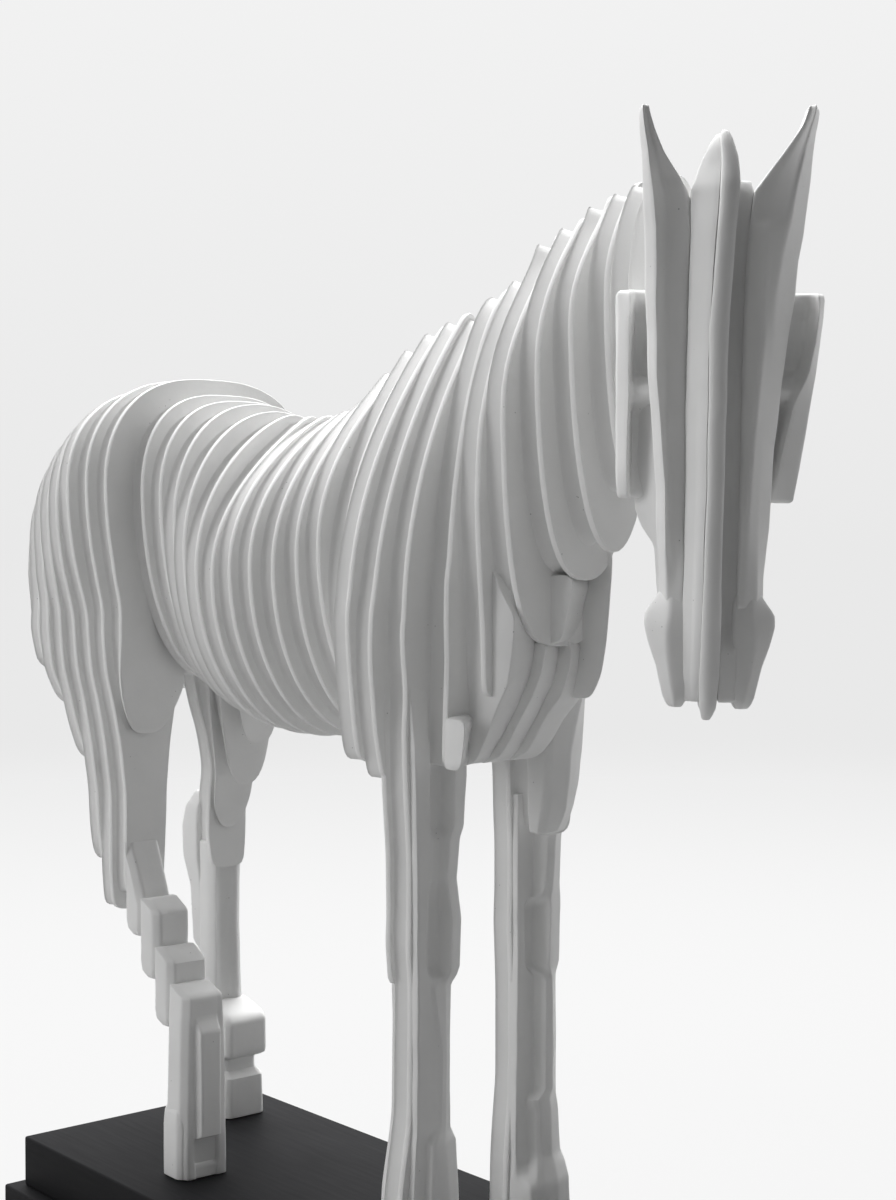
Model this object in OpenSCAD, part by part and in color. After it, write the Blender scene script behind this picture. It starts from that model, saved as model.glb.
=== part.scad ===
// Horse figurine built from glued upright plates, standing on a stepped two-tier plinth.
// X forward along the body, Y to the horse's left, Z up, millimetres.
// The origin is the centre of the underside of the felt sheet.

/* [Horse] */
// Height of the back above the plinth, which the heights in the tables follow
back_h = 300; // [240:1:360]
// Width across the hindquarters, which the half widths in the tables follow
body_w = 100; // [80:1:120]
// Distance from one body plate to the next
pitch = 11.3; // [10:0.1:12.5]
// Thickness of the proud rim on the front of each body plate
rim_t = 3.8; // [3:0.1:5]
// Depth of the step behind the rim
rim_d = 3.6; // [2.5:0.1:4.5]
// Half width of the crest on top of each plate
crest_half = 1.3; // [0.8:0.1:2]

/* [Chest] */
// Thickness of a brisket rib across the chest
brisket_t = 6; // [4:0.5:7]
// Distance from one brisket rib to the next
brisket_pitch = 11.3; // [10:0.1:12.5]

/* [Head] */
// Length of the head from the nose to the ear tips
head_l = 170; // [150:1:200]
// Depth of the head from forehead to jaw
head_d = 60; // [50:1:70]
// Width over the two cheek pads
head_w = 58; // [50:1:70]
// Angle that the head is turned to the horse's right
head_turn = 45; // [35:1:50]
// Angle that the ears lean to the horse's left
head_lean = 1.5; // [0:0.5:3]

/* [Plinth] */
// Length of the upper tier
tier_l = 262; // [240:1:300]
// Width of the upper tier
tier_w = 110; // [100:1:130]
// Thickness of the upper tier
tier_t = 20; // [15:1:30]
// Thickness of the lower tier
foot_t = 12; // [8:1:20]
// Width of the ledge of the lower tier all round
ledge_w = 6; // [4:0.5:12]
// Thickness of the felt sheet under the plinth
felt_t = 1.5; // [1:0.1:3]
// Distance of the felt sheet's edge from the plinth's edge
felt_in = 4; // [2:0.5:10]

/* [Fixings] */
// Diameter of the four leg screws' shanks
screw_d = 4; // [3:0.1:4.5]
// Length of a leg screw above the upper tier
screw_up = 16; // [10:1:20]
// Diameter of the screw heads
screw_head_d = 8; // [7:0.5:10]
// Thickness of the screw heads
screw_head_t = 3; // [2:0.5:4]
// Diameter of the two screws that join the tiers
tier_screw_d = 4.5; // [3:0.1:6]
// Distance between the two tier screws
tier_screw_gap = 200; // [160:1:220]

/* [Hidden] */
$fn = 32;
// Height of the plinth's top, where the hooves stand
base_h = felt_t + foot_t + tier_t;
// Plate 0's front face, counted in plates from the plinth's rear edge
first_share = -3.87;

// One row for each plate from the rump to the poll:
// top, height of the widest place and bottom as shares of back_h,
// half width as a share of body_w, bluntness of the crest and of the belly
trunk_shares = [
    [0.800, 0.735, 0.655, 0.180, 2.0, 2.2],
    [0.860, 0.780, 0.640, 0.290, 2.0, 2.6],
    [0.905, 0.820, 0.625, 0.365, 2.0, 2.8],
    [0.938, 0.845, 0.620, 0.420, 2.0, 3.0],
    [0.967, 0.862, 0.622, 0.460, 2.0, 3.0],
    [0.988, 0.878, 0.628, 0.490, 2.0, 3.0],
    [1.005, 0.893, 0.633, 0.512, 2.1, 3.0],
    [1.018, 0.918, 0.636, 0.525, 2.2, 3.0],
    [1.027, 0.917, 0.636, 0.505, 2.2, 3.0],
    [1.030, 0.913, 0.632, 0.485, 1.9, 2.8],
    [1.028, 0.885, 0.620, 0.390, 1.7, 2.2],
    [1.024, 0.870, 0.605, 0.378, 1.6, 2.0],
    [1.018, 0.835, 0.590, 0.388, 1.6, 2.0],
    [1.008, 0.800, 0.580, 0.415, 1.5, 2.0],
    [0.998, 0.777, 0.573, 0.435, 1.4, 2.0],
    [0.986, 0.770, 0.570, 0.440, 1.35, 2.0],
    [0.977, 0.778, 0.570, 0.440, 1.35, 2.0],
    [0.973, 0.780, 0.573, 0.430, 1.35, 2.0],
    [0.979, 0.780, 0.577, 0.410, 1.2, 2.0],
    [0.992, 0.795, 0.580, 0.390, 1.1, 2.0],
    [1.020, 0.805, 0.583, 0.380, 0.95, 2.0],
    [1.044, 0.760, 0.565, 0.365, 1.0, 2.4],
    [1.060, 0.723, 0.545, 0.420, 1.0, 3.0],
    [1.070, 0.700, 0.530, 0.410, 1.03, 3.4],
    [1.070, 0.717, 0.550, 0.370, 1.08, 3.4],
    [1.090, 0.720, 0.620, 0.280, 1.5, 3.2],
    [1.105, 0.880, 0.640, 0.250, 1.08, 4.0],
    [1.140, 0.947, 0.697, 0.245, 0.72, 2.0],
    [1.152, 0.990, 0.767, 0.200, 0.90, 1.5],
    [1.170, 1.033, 0.795, 0.180, 0.70, 1.5],
    [1.178, 1.060, 0.850, 0.140, 0.90, 2.0],
    [1.180, 1.060, 0.900, 0.120, 1.20, 2.0],
    [1.170, 1.060, 0.930, 0.120, 1.50, 2.0]];
// How far the last plates sway to the horse's left, as shares of body_w
sway_shares = [[29, 0.01], [30, 0.01], [31, -0.02], [32, -0.06]];

// Limb tables: height as a share of back_h, rear and front edge in plates,
// outer and inner side as shares of body_w
hind_right_shares = [
    [0.340, 6.20, 8.30, 0.335, 0.170], [0.370, 5.45, 8.30, 0.340, 0.165],
    [0.395, 5.30, 8.30, 0.340, 0.160], [0.483, 4.70, 8.40, 0.340, 0.150],
    [0.543, 4.10, 8.90, 0.365, 0.130], [0.607, 2.90, 9.40, 0.400, 0.100],
    [0.640, 2.00, 9.60, 0.425, 0.080], [0.700, 1.30, 9.90, 0.440, 0.060],
    [0.780, 1.20, 10.2, 0.450, 0.040]];
hind_left_shares = [
    [0.350, 4.35, 6.05, 0.370, 0.210], [0.397, 3.70, 6.30, 0.380, 0.190],
    [0.440, 4.20, 6.60, 0.380, 0.195], [0.483, 4.90, 7.80, 0.390, 0.200],
    [0.550, 4.70, 8.60, 0.400, 0.160], [0.617, 3.40, 9.20, 0.410, 0.120],
    [0.667, 1.90, 9.50, 0.430, 0.100], [0.780, 1.00, 10.2, 0.480, 0.040]];
foreleg_right_shares = [
    [0.000, 22.45, 24.6, 0.400, 0.170], [0.095, 22.55, 24.4, 0.390, 0.180],
    [0.110, 22.60, 24.3, 0.385, 0.185], [0.150, 22.70, 24.1, 0.365, 0.200],
    [0.180, 22.70, 24.1, 0.350, 0.205], [0.290, 22.70, 24.1, 0.345, 0.205],
    [0.335, 22.60, 24.1, 0.345, 0.200], [0.370, 22.60, 24.1, 0.355, 0.190],
    [0.400, 22.60, 24.1, 0.350, 0.195], [0.470, 22.50, 24.1, 0.350, 0.195],
    [0.550, 22.20, 24.1, 0.365, 0.185], [0.620, 21.8, 24.6, 0.380, 0.150]];
foreleg_left_shares = [
    [0.000, 21.90, 23.9, 0.400, 0.165], [0.095, 22.00, 23.8, 0.395, 0.170],
    [0.130, 22.00, 23.1, 0.385, 0.180], [0.150, 22.00, 23.1, 0.375, 0.185],
    [0.180, 21.95, 23.1, 0.365, 0.195], [0.290, 21.95, 23.1, 0.365, 0.195],
    [0.335, 21.90, 23.1, 0.370, 0.190], [0.370, 21.85, 23.2, 0.380, 0.185],
    [0.400, 21.85, 23.2, 0.370, 0.190], [0.470, 21.80, 23.3, 0.365, 0.190],
    [0.480, 21.80, 24.1, 0.365, 0.185], [0.550, 21.60, 24.1, 0.370, 0.180],
    [0.620, 21.3, 24.6, 0.380, 0.150]];
// Levels at which a limb's outline is drawn
level_count = 36;

// Half outlines of the head seen from the front: across as a share of head_w,
// up as a share of head_l above the nose tip
ear_front_shares = [[0.415, 1.00], [0.390, 0.985], [0.135, 0.855], [0.125, 0.75],
    [0.125, 0.18], [0.222, 0.18], [0.230, 0.21], [0.250, 0.32], [0.310, 0.50],
    [0.350, 0.62], [0.362, 0.70], [0.392, 0.84], [0.425, 0.96]];
// Side outlines of the head: forward as a share of head_d from the poll,
// up as a share of head_l above the nose tip
ridge_side_shares = [[0.30, 0.94], [0.42, 0.865], [0.50, 0.72], [0.52, 0.55],
    [0.51, 0.38], [0.50, 0.20], [0.46, 0.03], [0.40, 0.00], [0.30, 0.02],
    [0.05, 0.06], [-0.10, 0.14], [-0.18, 0.26], [-0.30, 0.38], [-0.44, 0.50],
    [-0.48, 0.62], [-0.44, 0.76], [-0.30, 0.86], [0.00, 0.92]];
face_side_shares = [[0.30, 0.85], [0.36, 0.72], [0.38, 0.55], [0.37, 0.38],
    [0.37, 0.20], [0.38, 0.10], [0.34, 0.02], [0.25, 0.02], [0.05, 0.08],
    [-0.08, 0.16], [-0.16, 0.27], [-0.28, 0.39], [-0.42, 0.51], [-0.46, 0.62],
    [-0.44, 0.74], [-0.30, 0.83], [0.00, 0.86]];
jaw_side_shares = [[0.02, 0.83], [0.02, 0.20], [-0.06, 0.18], [-0.14, 0.28],
    [-0.26, 0.40], [-0.40, 0.52], [-0.44, 0.62], [-0.42, 0.73], [-0.28, 0.81]];

function lerp(a, b, f) = a + (b - a) * f;
function power(v, e) = pow(max(v, 0), e);
function plate_x(j) = -tier_l / 2 + (first_share + j) * pitch;

// Right and left half of a plate's closed outline, with the step depth taken off
function trunk_pts(j, inset, n = 9) =
    let (s = trunk_shares[j],
        top = s[0] * back_h - inset,
        mid = s[1] * back_h,
        low = s[2] * back_h + inset,
        half = s[3] * body_w - inset,
        right = concat(
            [for (k = [0 : n]) let (a = 90 * k / n)
                [max(half * power(1 - pow(cos(a), 2), 1 / s[4]), crest_half),
                    mid + (top - mid) * cos(a)]],
            [for (k = [1 : n]) let (a = 90 * k / n)
                [max(half * power(1 - pow(sin(a), 2), 1 / s[5]), crest_half),
                    mid + (low - mid) * sin(a)]]))
    concat(right, [for (k = [len(right) - 1 : -1 : 0]) [-right[k][0], right[k][1]]]);

module trunk_face(j, inset) {
    translate([lookup(j, concat([[0, 0], [28, 0]], sway_shares)) * body_w, base_h])
        polygon(trunk_pts(j, inset));
}

// Row of a limb table at a height share
function row_at(t, z, k = 0) =
    z <= t[0][0] ? t[0] :
    k >= len(t) - 2 ? (z >= t[len(t) - 1][0] ? t[len(t) - 1] : mix_row(t, z, k)) :
    z <= t[k + 1][0] ? mix_row(t, z, k) : row_at(t, z, k + 1);
function mix_row(t, z, k) =
    let (f = (z - t[k][0]) / (t[k + 1][0] - t[k][0]))
    [for (c = [0 : 4]) lerp(t[k][c], t[k + 1][c], f)];
// How full the limb is at plate place p: 0 outside it, 1 in its middle
function fullness(r, p) =
    let (mid = (r[1] + r[2]) / 2, half = (r[2] - r[1]) / 2, d = abs(p - mid) / half)
    d >= 1 ? 0 : power(1 - pow(d, 4), 1 / 3);
function last_level(t, zs, p, k) =
    k + 1 < len(zs) && fullness(row_at(t, zs[k + 1]), p) > 0.3
        ? last_level(t, zs, p, k + 1) : k;

// Section of one limb at plate place p between two height shares
module limb_face(t, p, low, high, inset, side, cap = 1) {
    zs = [for (k = [0 : level_count]) lerp(low, high, k / level_count)];
    full = [for (z = zs) fullness(row_at(t, z), p)];
    for (k = [0 : level_count - 1])
        if (full[k] > 0.3 && (k == 0 || full[k - 1] <= 0.3)) {
            e = last_level(t, zs, p, k);
            if (e > k) {
                outer = [for (m = [k : e]) let (r = row_at(t, zs[m]),
                        c = (r[3] + r[4]) / 2, h = (r[3] - r[4]) / 2 * full[m])
                    [side * (min(c + h, cap) * body_w - inset),
                        zs[m] * back_h + (m == k && k > 0 ? inset : 0)]];
                inner = [for (m = [e : -1 : k]) let (r = row_at(t, zs[m]),
                        c = (r[3] + r[4]) / 2, h = (r[3] - r[4]) / 2 * full[m])
                    [side * (min(c - h, cap) * body_w + inset),
                        zs[m] * back_h + (m == k && k > 0 ? inset : 0)]];
                translate([0, base_h])
                    polygon(concat(outer, inner));
            }
        }
}

module plate_face(j, inset) {
    p = j - 0.5;
    // A limb never stands out past the widest place of its own plate
    cap = trunk_shares[j][3];
    trunk_face(j, inset);
    if (j <= 10) {
        limb_face(hind_right_shares, p, 0.340, 0.78, inset, -1, cap);
        limb_face(hind_left_shares, p, j == 5 ? 0.600 : 0.350, 0.78, inset, 1, cap);
    }
    if (j >= 22 && j <= 24) {
        // The plate behind the right foreleg shows there only as its rim
        if (inset == 0 || j != 23)
            limb_face(foreleg_right_shares, j == 23 ? j - 0.15 : p,
                j == 23 ? 0.29 : 0, 0.62, inset, -1);
        limb_face(foreleg_left_shares, p, j == 24 ? 0.47 : 0, 0.62, inset, 1);
    }
}

// Stands an outline drawn in Y and Z up between two X places
module slab(x_rear, x_front) {
    translate([x_rear, 0, 0])
        rotate([90, 0, 90])
            linear_extrude(height = x_front - x_rear)
                children();
}

module plate(j) {
    color("whitesmoke")
        difference() {
            union() {
                slab(plate_x(j) - rim_t, plate_x(j))
                    plate_face(j, 0);
                slab(plate_x(j) - pitch, plate_x(j) - rim_t)
                    plate_face(j, rim_d);
            }
            leg_screw_solids();
        }
}

// Blocks of the lower legs: rear and front in plates, right and left side as
// shares of body_w, bottom and top as shares of back_h
hock_shares = [[8, 9, -0.335, -0.190, 0.300, 0.370]];
slab_1_shares = [[9, 10, -0.340, -0.200, 0.245, 0.343]];
slab_2_shares = [[10, 11, -0.340, -0.190, 0.190, 0.285]];
hoof_right_shares = [[11, 12, -0.345, -0.185, 0, 0.243],
    [10.35, 12.05, -0.370, -0.155, 0, 0.095], [11.9, 12.3, -0.300, -0.200, 0.05, 0.200]];
cannon_rear_shares = [[4.35, 5, 0.220, 0.370, 0.235, 0.350],
    [4.00, 5, 0.195, 0.375, 0.340, 0.445]];
cannon_front_shares = [[5, 6, 0.220, 0.370, 0.147, 0.350]];
hoof_left_shares = [[5.35, 7.2, 0.200, 0.400, 0, 0.120],
    [5, 6.8, 0.215, 0.385, 0.110, 0.147]];
// The horse's right side of the brisket ribs, which the leg's strip meets
brisket_right = -1.5 * brisket_pitch - brisket_t / 2;
strip_right_shares = [[24, 24.12, -0.280, -0.215, 0.130, 0.560],
    [24, 24.40, -0.300, -0.210, 0.335, 0.400],
    [24, 24.95, -0.285, brisket_right / body_w, 0.545, 0.620]];
strip_left_shares = [[23, 23.15, 0.205, 0.290, 0.110, 0.480],
    [23, 23.85, 0.175, 0.390, 0, 0.120],
    [23, 23.45, 0.195, 0.330, 0.335, 0.400]];
block_left_shares = [[24, 24.90, 0.160, 0.285, 0.480, 0.635]];
// Brisket ribs seen from the side: forward in plates, up as a share of back_h
brisket_side_shares = [[24, 0.565], [24.4, 0.567], [25.16, 0.580], [25.64, 0.600],
    [25.99, 0.617], [26.4, 0.637], [26.7, 0.653], [26.96, 0.677], [27.1, 0.697],
    [26, 0.697], [26, 0.640], [25, 0.640], [25, 0.620], [24, 0.620]];
keel_side_shares = [[27, 0.697], [27.6, 0.697], [27.6, 0.767], [27, 0.767]];
breast_side_shares = [[27, 0.697], [27.52, 0.697], [27.75, 0.73], [27.86, 0.767],
    [27, 0.767]];
breast_low_shares = [[26, 0.625], [26.8, 0.633], [27.52, 0.697], [26, 0.697]];
// Right and left side of the two keels as shares of body_w
keel_across_shares = [-0.050, 0.030];
breast_across_shares = [0.030, 0.150];

module blocks(rows) {
    color("whitesmoke")
        difference() {
            for (r = rows)
                translate([plate_x(r[0]), r[2] * body_w, base_h + r[4] * back_h])
                    cube([(r[1] - r[0]) * pitch, (r[3] - r[2]) * body_w,
                        (r[5] - r[4]) * back_h]);
            leg_screw_solids();
        }
}

// Stands an outline drawn in plates and height shares between two Y places
module upright(pts, y_right, y_left) {
    color("whitesmoke")
        translate([0, y_left, base_h])
            rotate([90, 0, 0])
                linear_extrude(height = y_left - y_right)
                    polygon([for (q = pts) [plate_x(q[0]), q[1] * back_h]]);
}

module brisket_ribs() {
    for (k = [-1.5, -0.5, 0.5])
        upright(brisket_side_shares, k * brisket_pitch - brisket_t / 2,
            k * brisket_pitch + brisket_t / 2);
}
module chest_keel() {
    upright(keel_side_shares, keel_across_shares[0] * body_w,
        keel_across_shares[1] * body_w);
}
module breast_keel() {
    upright(breast_side_shares, breast_across_shares[0] * body_w,
        breast_across_shares[1] * body_w);
    upright(breast_low_shares, brisket_pitch / 2 + brisket_t / 2,
        breast_across_shares[1] * body_w);
}

// Places of the head's plates as shares of head_w and head_d
ridge_half_share = 0.048;
face_out_share = 0.125;
jaw_out_share = 0.25;
cheek_out_share = 0.50;
ear_rear_share = 0.02;
ear_front_share = 0.30;
muzzle_rear_share = 0;
muzzle_front_share = 0.40;
cheek_rear_share = -0.30;
cheek_low_share = 0.355;
cheek_top_share = 0.71;
muzzle_shares = [[0.125, 0.02], [0.18, 0.015], [0.25, 0.07], [0.30, 0.13],
    [0.295, 0.165], [0.26, 0.18], [0.125, 0.18]];
// Place of the poll, counted in plates, and height of the nose tip
poll_share = 33.7;
poll_across_share = -0.13;
nose_share = 0.643;

// The head's own frame: forward, to its left and up from the nose tip's height
module in_head() {
    difference() {
        translate([plate_x(poll_share), poll_across_share * body_w,
            base_h + nose_share * back_h])
            rotate([0, 0, -head_turn])
                translate([0, 0, head_l / 2])
                    rotate([-head_lean, 0, 0])
                        translate([0, 0, -head_l / 2])
                            children();
        for (j = [30 : 32])
            slab(plate_x(j) - pitch, plate_x(j))
                trunk_face(j, 0);
    }
}
// A side outline of the head as a plate between two places across
module head_plate(pts, from, to) {
    color("whitesmoke")
        in_head()
            translate([0, to, 0])
                rotate([90, 0, 0])
                    linear_extrude(height = to - from)
                        polygon([for (q = pts) [q[0] * head_d, q[1] * head_l]]);
}
// A front outline of the head's half as a plate between two places forward
module front_plate(pts, side, from, to) {
    color("whitesmoke")
        in_head()
            translate([from, 0, 0])
                rotate([90, 0, 90])
                    linear_extrude(height = to - from)
                        polygon([for (q = pts) [side * q[0] * head_w, q[1] * head_l]]);
}
module head_ridge() {
    head_plate(ridge_side_shares, -ridge_half_share * head_w, ridge_half_share * head_w);
}
module face(side) {
    head_plate(face_side_shares,
        min(side * ridge_half_share, side * face_out_share) * head_w,
        max(side * ridge_half_share, side * face_out_share) * head_w);
}
module jaw(side) {
    head_plate(jaw_side_shares,
        min(side * face_out_share, side * jaw_out_share) * head_w,
        max(side * face_out_share, side * jaw_out_share) * head_w);
}
module ear(side) {
    front_plate(ear_front_shares, side, ear_rear_share * head_d,
        ear_front_share * head_d);
}
module cheek(side) {
    r = (ear_rear_share - cheek_rear_share) * head_d / 2;
    thick = (cheek_out_share - jaw_out_share) * head_w;
    color("whitesmoke")
        in_head()
            translate([ear_rear_share * head_d - r,
                side > 0 ? cheek_out_share * head_w : -jaw_out_share * head_w, 0])
                rotate([90, 0, 0])
                    linear_extrude(height = thick)
                        union() {
                            translate([-r, cheek_low_share * head_l + r])
                                square([2 * r,
                                    (cheek_top_share - cheek_low_share) * head_l - 2 * r]);
                            translate([0, cheek_low_share * head_l + r])
                                circle(r);
                            translate([0, cheek_top_share * head_l - r])
                                circle(r);
                        }
}
module nostrils() {
    for (side = [-1, 1])
        front_plate(muzzle_shares, side, muzzle_rear_share * head_d,
            muzzle_front_share * head_d);
}

// Centres of the four leg screws: place in plates, across as a share of body_w
leg_screw_shares = [[11.2, -0.265], [6.3, 0.30], [23.4, -0.28], [22.4, 0.285]];

module leg_screw_solids() {
    for (s = leg_screw_shares)
        translate([plate_x(s[0]), s[1] * body_w, felt_t]) {
            cylinder(d = screw_d, h = foot_t + tier_t + screw_up);
            cylinder(d = screw_head_d, h = screw_head_t);
        }
}
module tier_screw_solids() {
    for (side = [-1, 1])
        translate([side * tier_screw_gap / 2, 0, felt_t]) {
            cylinder(d = tier_screw_d, h = foot_t + tier_t / 2);
            cylinder(d = screw_head_d, h = screw_head_t);
        }
}
module screws() {
    color("silver") {
        leg_screw_solids();
        tier_screw_solids();
    }
}
module plinth_upper() {
    color("black")
        difference() {
            translate([-tier_l / 2, -tier_w / 2, felt_t + foot_t])
                cube([tier_l, tier_w, tier_t]);
            leg_screw_solids();
            tier_screw_solids();
        }
}
module plinth_lower() {
    color("black")
        difference() {
            translate([-tier_l / 2 - ledge_w, -tier_w / 2 - ledge_w, felt_t])
                cube([tier_l + 2 * ledge_w, tier_w + 2 * ledge_w, foot_t]);
            leg_screw_solids();
            tier_screw_solids();
        }
}
module felt() {
    l = tier_l + 2 * ledge_w - 2 * felt_in;
    w = tier_w + 2 * ledge_w - 2 * felt_in;
    color("dimgray")
        translate([-l / 2, -w / 2, 0])
            cube([l, w, felt_t]);
}

module rump_1() {
    plate(0);
}
module rump_2() {
    plate(1);
}
module rump_3() {
    plate(2);
}
module rump_4() {
    plate(3);
}
module rump_5() {
    plate(4);
}
module haunch_1() {
    plate(5);
}
module haunch_2() {
    plate(6);
}
module haunch_3() {
    plate(7);
}
module haunch_4() {
    plate(8);
}
module haunch_5() {
    plate(9);
}
module flank_1() {
    plate(10);
}
module flank_2() {
    plate(11);
}
module barrel_1() {
    plate(12);
}
module barrel_2() {
    plate(13);
}
module barrel_3() {
    plate(14);
}
module barrel_4() {
    plate(15);
}
module barrel_5() {
    plate(16);
}
module barrel_6() {
    plate(17);
}
module barrel_7() {
    plate(18);
}
module barrel_8() {
    plate(19);
}
module barrel_9() {
    plate(20);
}
module shoulder_1() {
    plate(21);
}
module shoulder_2() {
    plate(22);
}
module shoulder_3() {
    plate(23);
}
module shoulder_4() {
    plate(24);
}
module neck_1() {
    plate(25);
}
module neck_2() {
    plate(26);
}
module neck_3() {
    plate(27);
}
module neck_4() {
    plate(28);
}
module neck_5() {
    plate(29);
}
module neck_6() {
    plate(30);
}
module neck_7() {
    plate(31);
}
module neck_8() {
    plate(32);
}
module foreleg_right_strip() {
    blocks(strip_right_shares);
}
module foreleg_left_strip() {
    blocks(strip_left_shares);
}
module foreleg_left_block() {
    blocks(block_left_shares);
}
module hind_right_hock() {
    blocks(hock_shares);
}
module hind_right_slab_1() {
    blocks(slab_1_shares);
}
module hind_right_slab_2() {
    blocks(slab_2_shares);
}
module hind_right_hoof() {
    blocks(hoof_right_shares);
}
module hind_left_cannon_rear() {
    blocks(cannon_rear_shares);
}
module hind_left_cannon_front() {
    blocks(cannon_front_shares);
}
module hind_left_hoof() {
    blocks(hoof_left_shares);
}
module face_right() {
    face(-1);
}
module face_left() {
    face(1);
}
module ear_right() {
    ear(-1);
}
module ear_left() {
    ear(1);
}
module jaw_right() {
    jaw(-1);
}
module jaw_left() {
    jaw(1);
}
module cheek_right() {
    cheek(-1);
}
module cheek_left() {
    cheek(1);
}

rump_1();
rump_2();
rump_3();
rump_4();
rump_5();
haunch_1();
haunch_2();
haunch_3();
haunch_4();
haunch_5();
flank_1();
flank_2();
barrel_1();
barrel_2();
barrel_3();
barrel_4();
barrel_5();
barrel_6();
barrel_7();
barrel_8();
barrel_9();
shoulder_1();
shoulder_2();
shoulder_3();
shoulder_4();
neck_1();
neck_2();
neck_3();
neck_4();
neck_5();
neck_6();
neck_7();
neck_8();
brisket_ribs();
chest_keel();
breast_keel();
foreleg_right_strip();
foreleg_left_strip();
foreleg_left_block();
hind_right_hock();
hind_right_slab_1();
hind_right_slab_2();
hind_right_hoof();
hind_left_cannon_rear();
hind_left_cannon_front();
hind_left_hoof();
head_ridge();
face_right();
face_left();
ear_right();
ear_left();
jaw_right();
jaw_left();
cheek_right();
cheek_left();
nostrils();
plinth_upper();
plinth_lower();
felt();
screws();
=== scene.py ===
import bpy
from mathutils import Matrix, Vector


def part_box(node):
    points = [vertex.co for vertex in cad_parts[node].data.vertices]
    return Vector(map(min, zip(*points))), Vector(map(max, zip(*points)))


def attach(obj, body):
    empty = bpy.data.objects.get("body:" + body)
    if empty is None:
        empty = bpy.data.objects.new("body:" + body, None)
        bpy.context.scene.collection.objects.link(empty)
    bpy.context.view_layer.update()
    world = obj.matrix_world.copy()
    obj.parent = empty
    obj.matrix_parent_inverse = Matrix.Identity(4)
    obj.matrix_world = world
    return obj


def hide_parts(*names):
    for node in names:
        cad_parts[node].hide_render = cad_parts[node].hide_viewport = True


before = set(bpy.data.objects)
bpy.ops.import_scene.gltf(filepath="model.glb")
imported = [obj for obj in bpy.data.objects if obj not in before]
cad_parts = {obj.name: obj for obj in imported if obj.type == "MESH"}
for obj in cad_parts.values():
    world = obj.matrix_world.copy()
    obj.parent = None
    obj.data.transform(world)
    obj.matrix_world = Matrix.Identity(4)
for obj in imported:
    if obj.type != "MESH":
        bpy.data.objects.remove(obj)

"""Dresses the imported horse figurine: white cast plates with proud soft rims, a head of
upright boards, stepped lower legs and a satin black stepped plinth."""

import logging
import math
from dataclasses import dataclass, field
from enum import Enum
from typing import Callable

import bmesh
import bpy
from mathutils import Matrix, Vector, noise

log = logging.getLogger("horse")
MM = 0.001
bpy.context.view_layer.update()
# Sizes of the solids that several classes share, in millimetres: height of the felt and both
# tiers, length of the upper tier, distance of the plates, and place of the first plate from
# the rear end of the upper tier, in plates
BASE_H = 33.5
TIER_LENGTH = 262
PITCH = 11.3
FIRST_SHARE = -3.87
# Seed of the wavering surfaces, so that each run gives the same shapes
NOISE_SEED = 7


class Side(Enum):
    """Which side of the horse a piece is on; the value is the sign of Y."""

    RIGHT = -1
    LEFT = 1


def plate_x(index: float, unit: float = 1.0) -> float:
    """Front face of a plate, in millimetres, or in metres where the unit is MM."""
    return -(TIER_LENGTH * unit) / 2 + (FIRST_SHARE + index) * (PITCH * unit)


# --------------------------------------------------------------------------- finishes

Colour = tuple[float, float, float]
WHITE: Colour = (1.0, 1.0, 1.0)
BLACK: Colour = (0.0, 0.0, 0.0)


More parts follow.
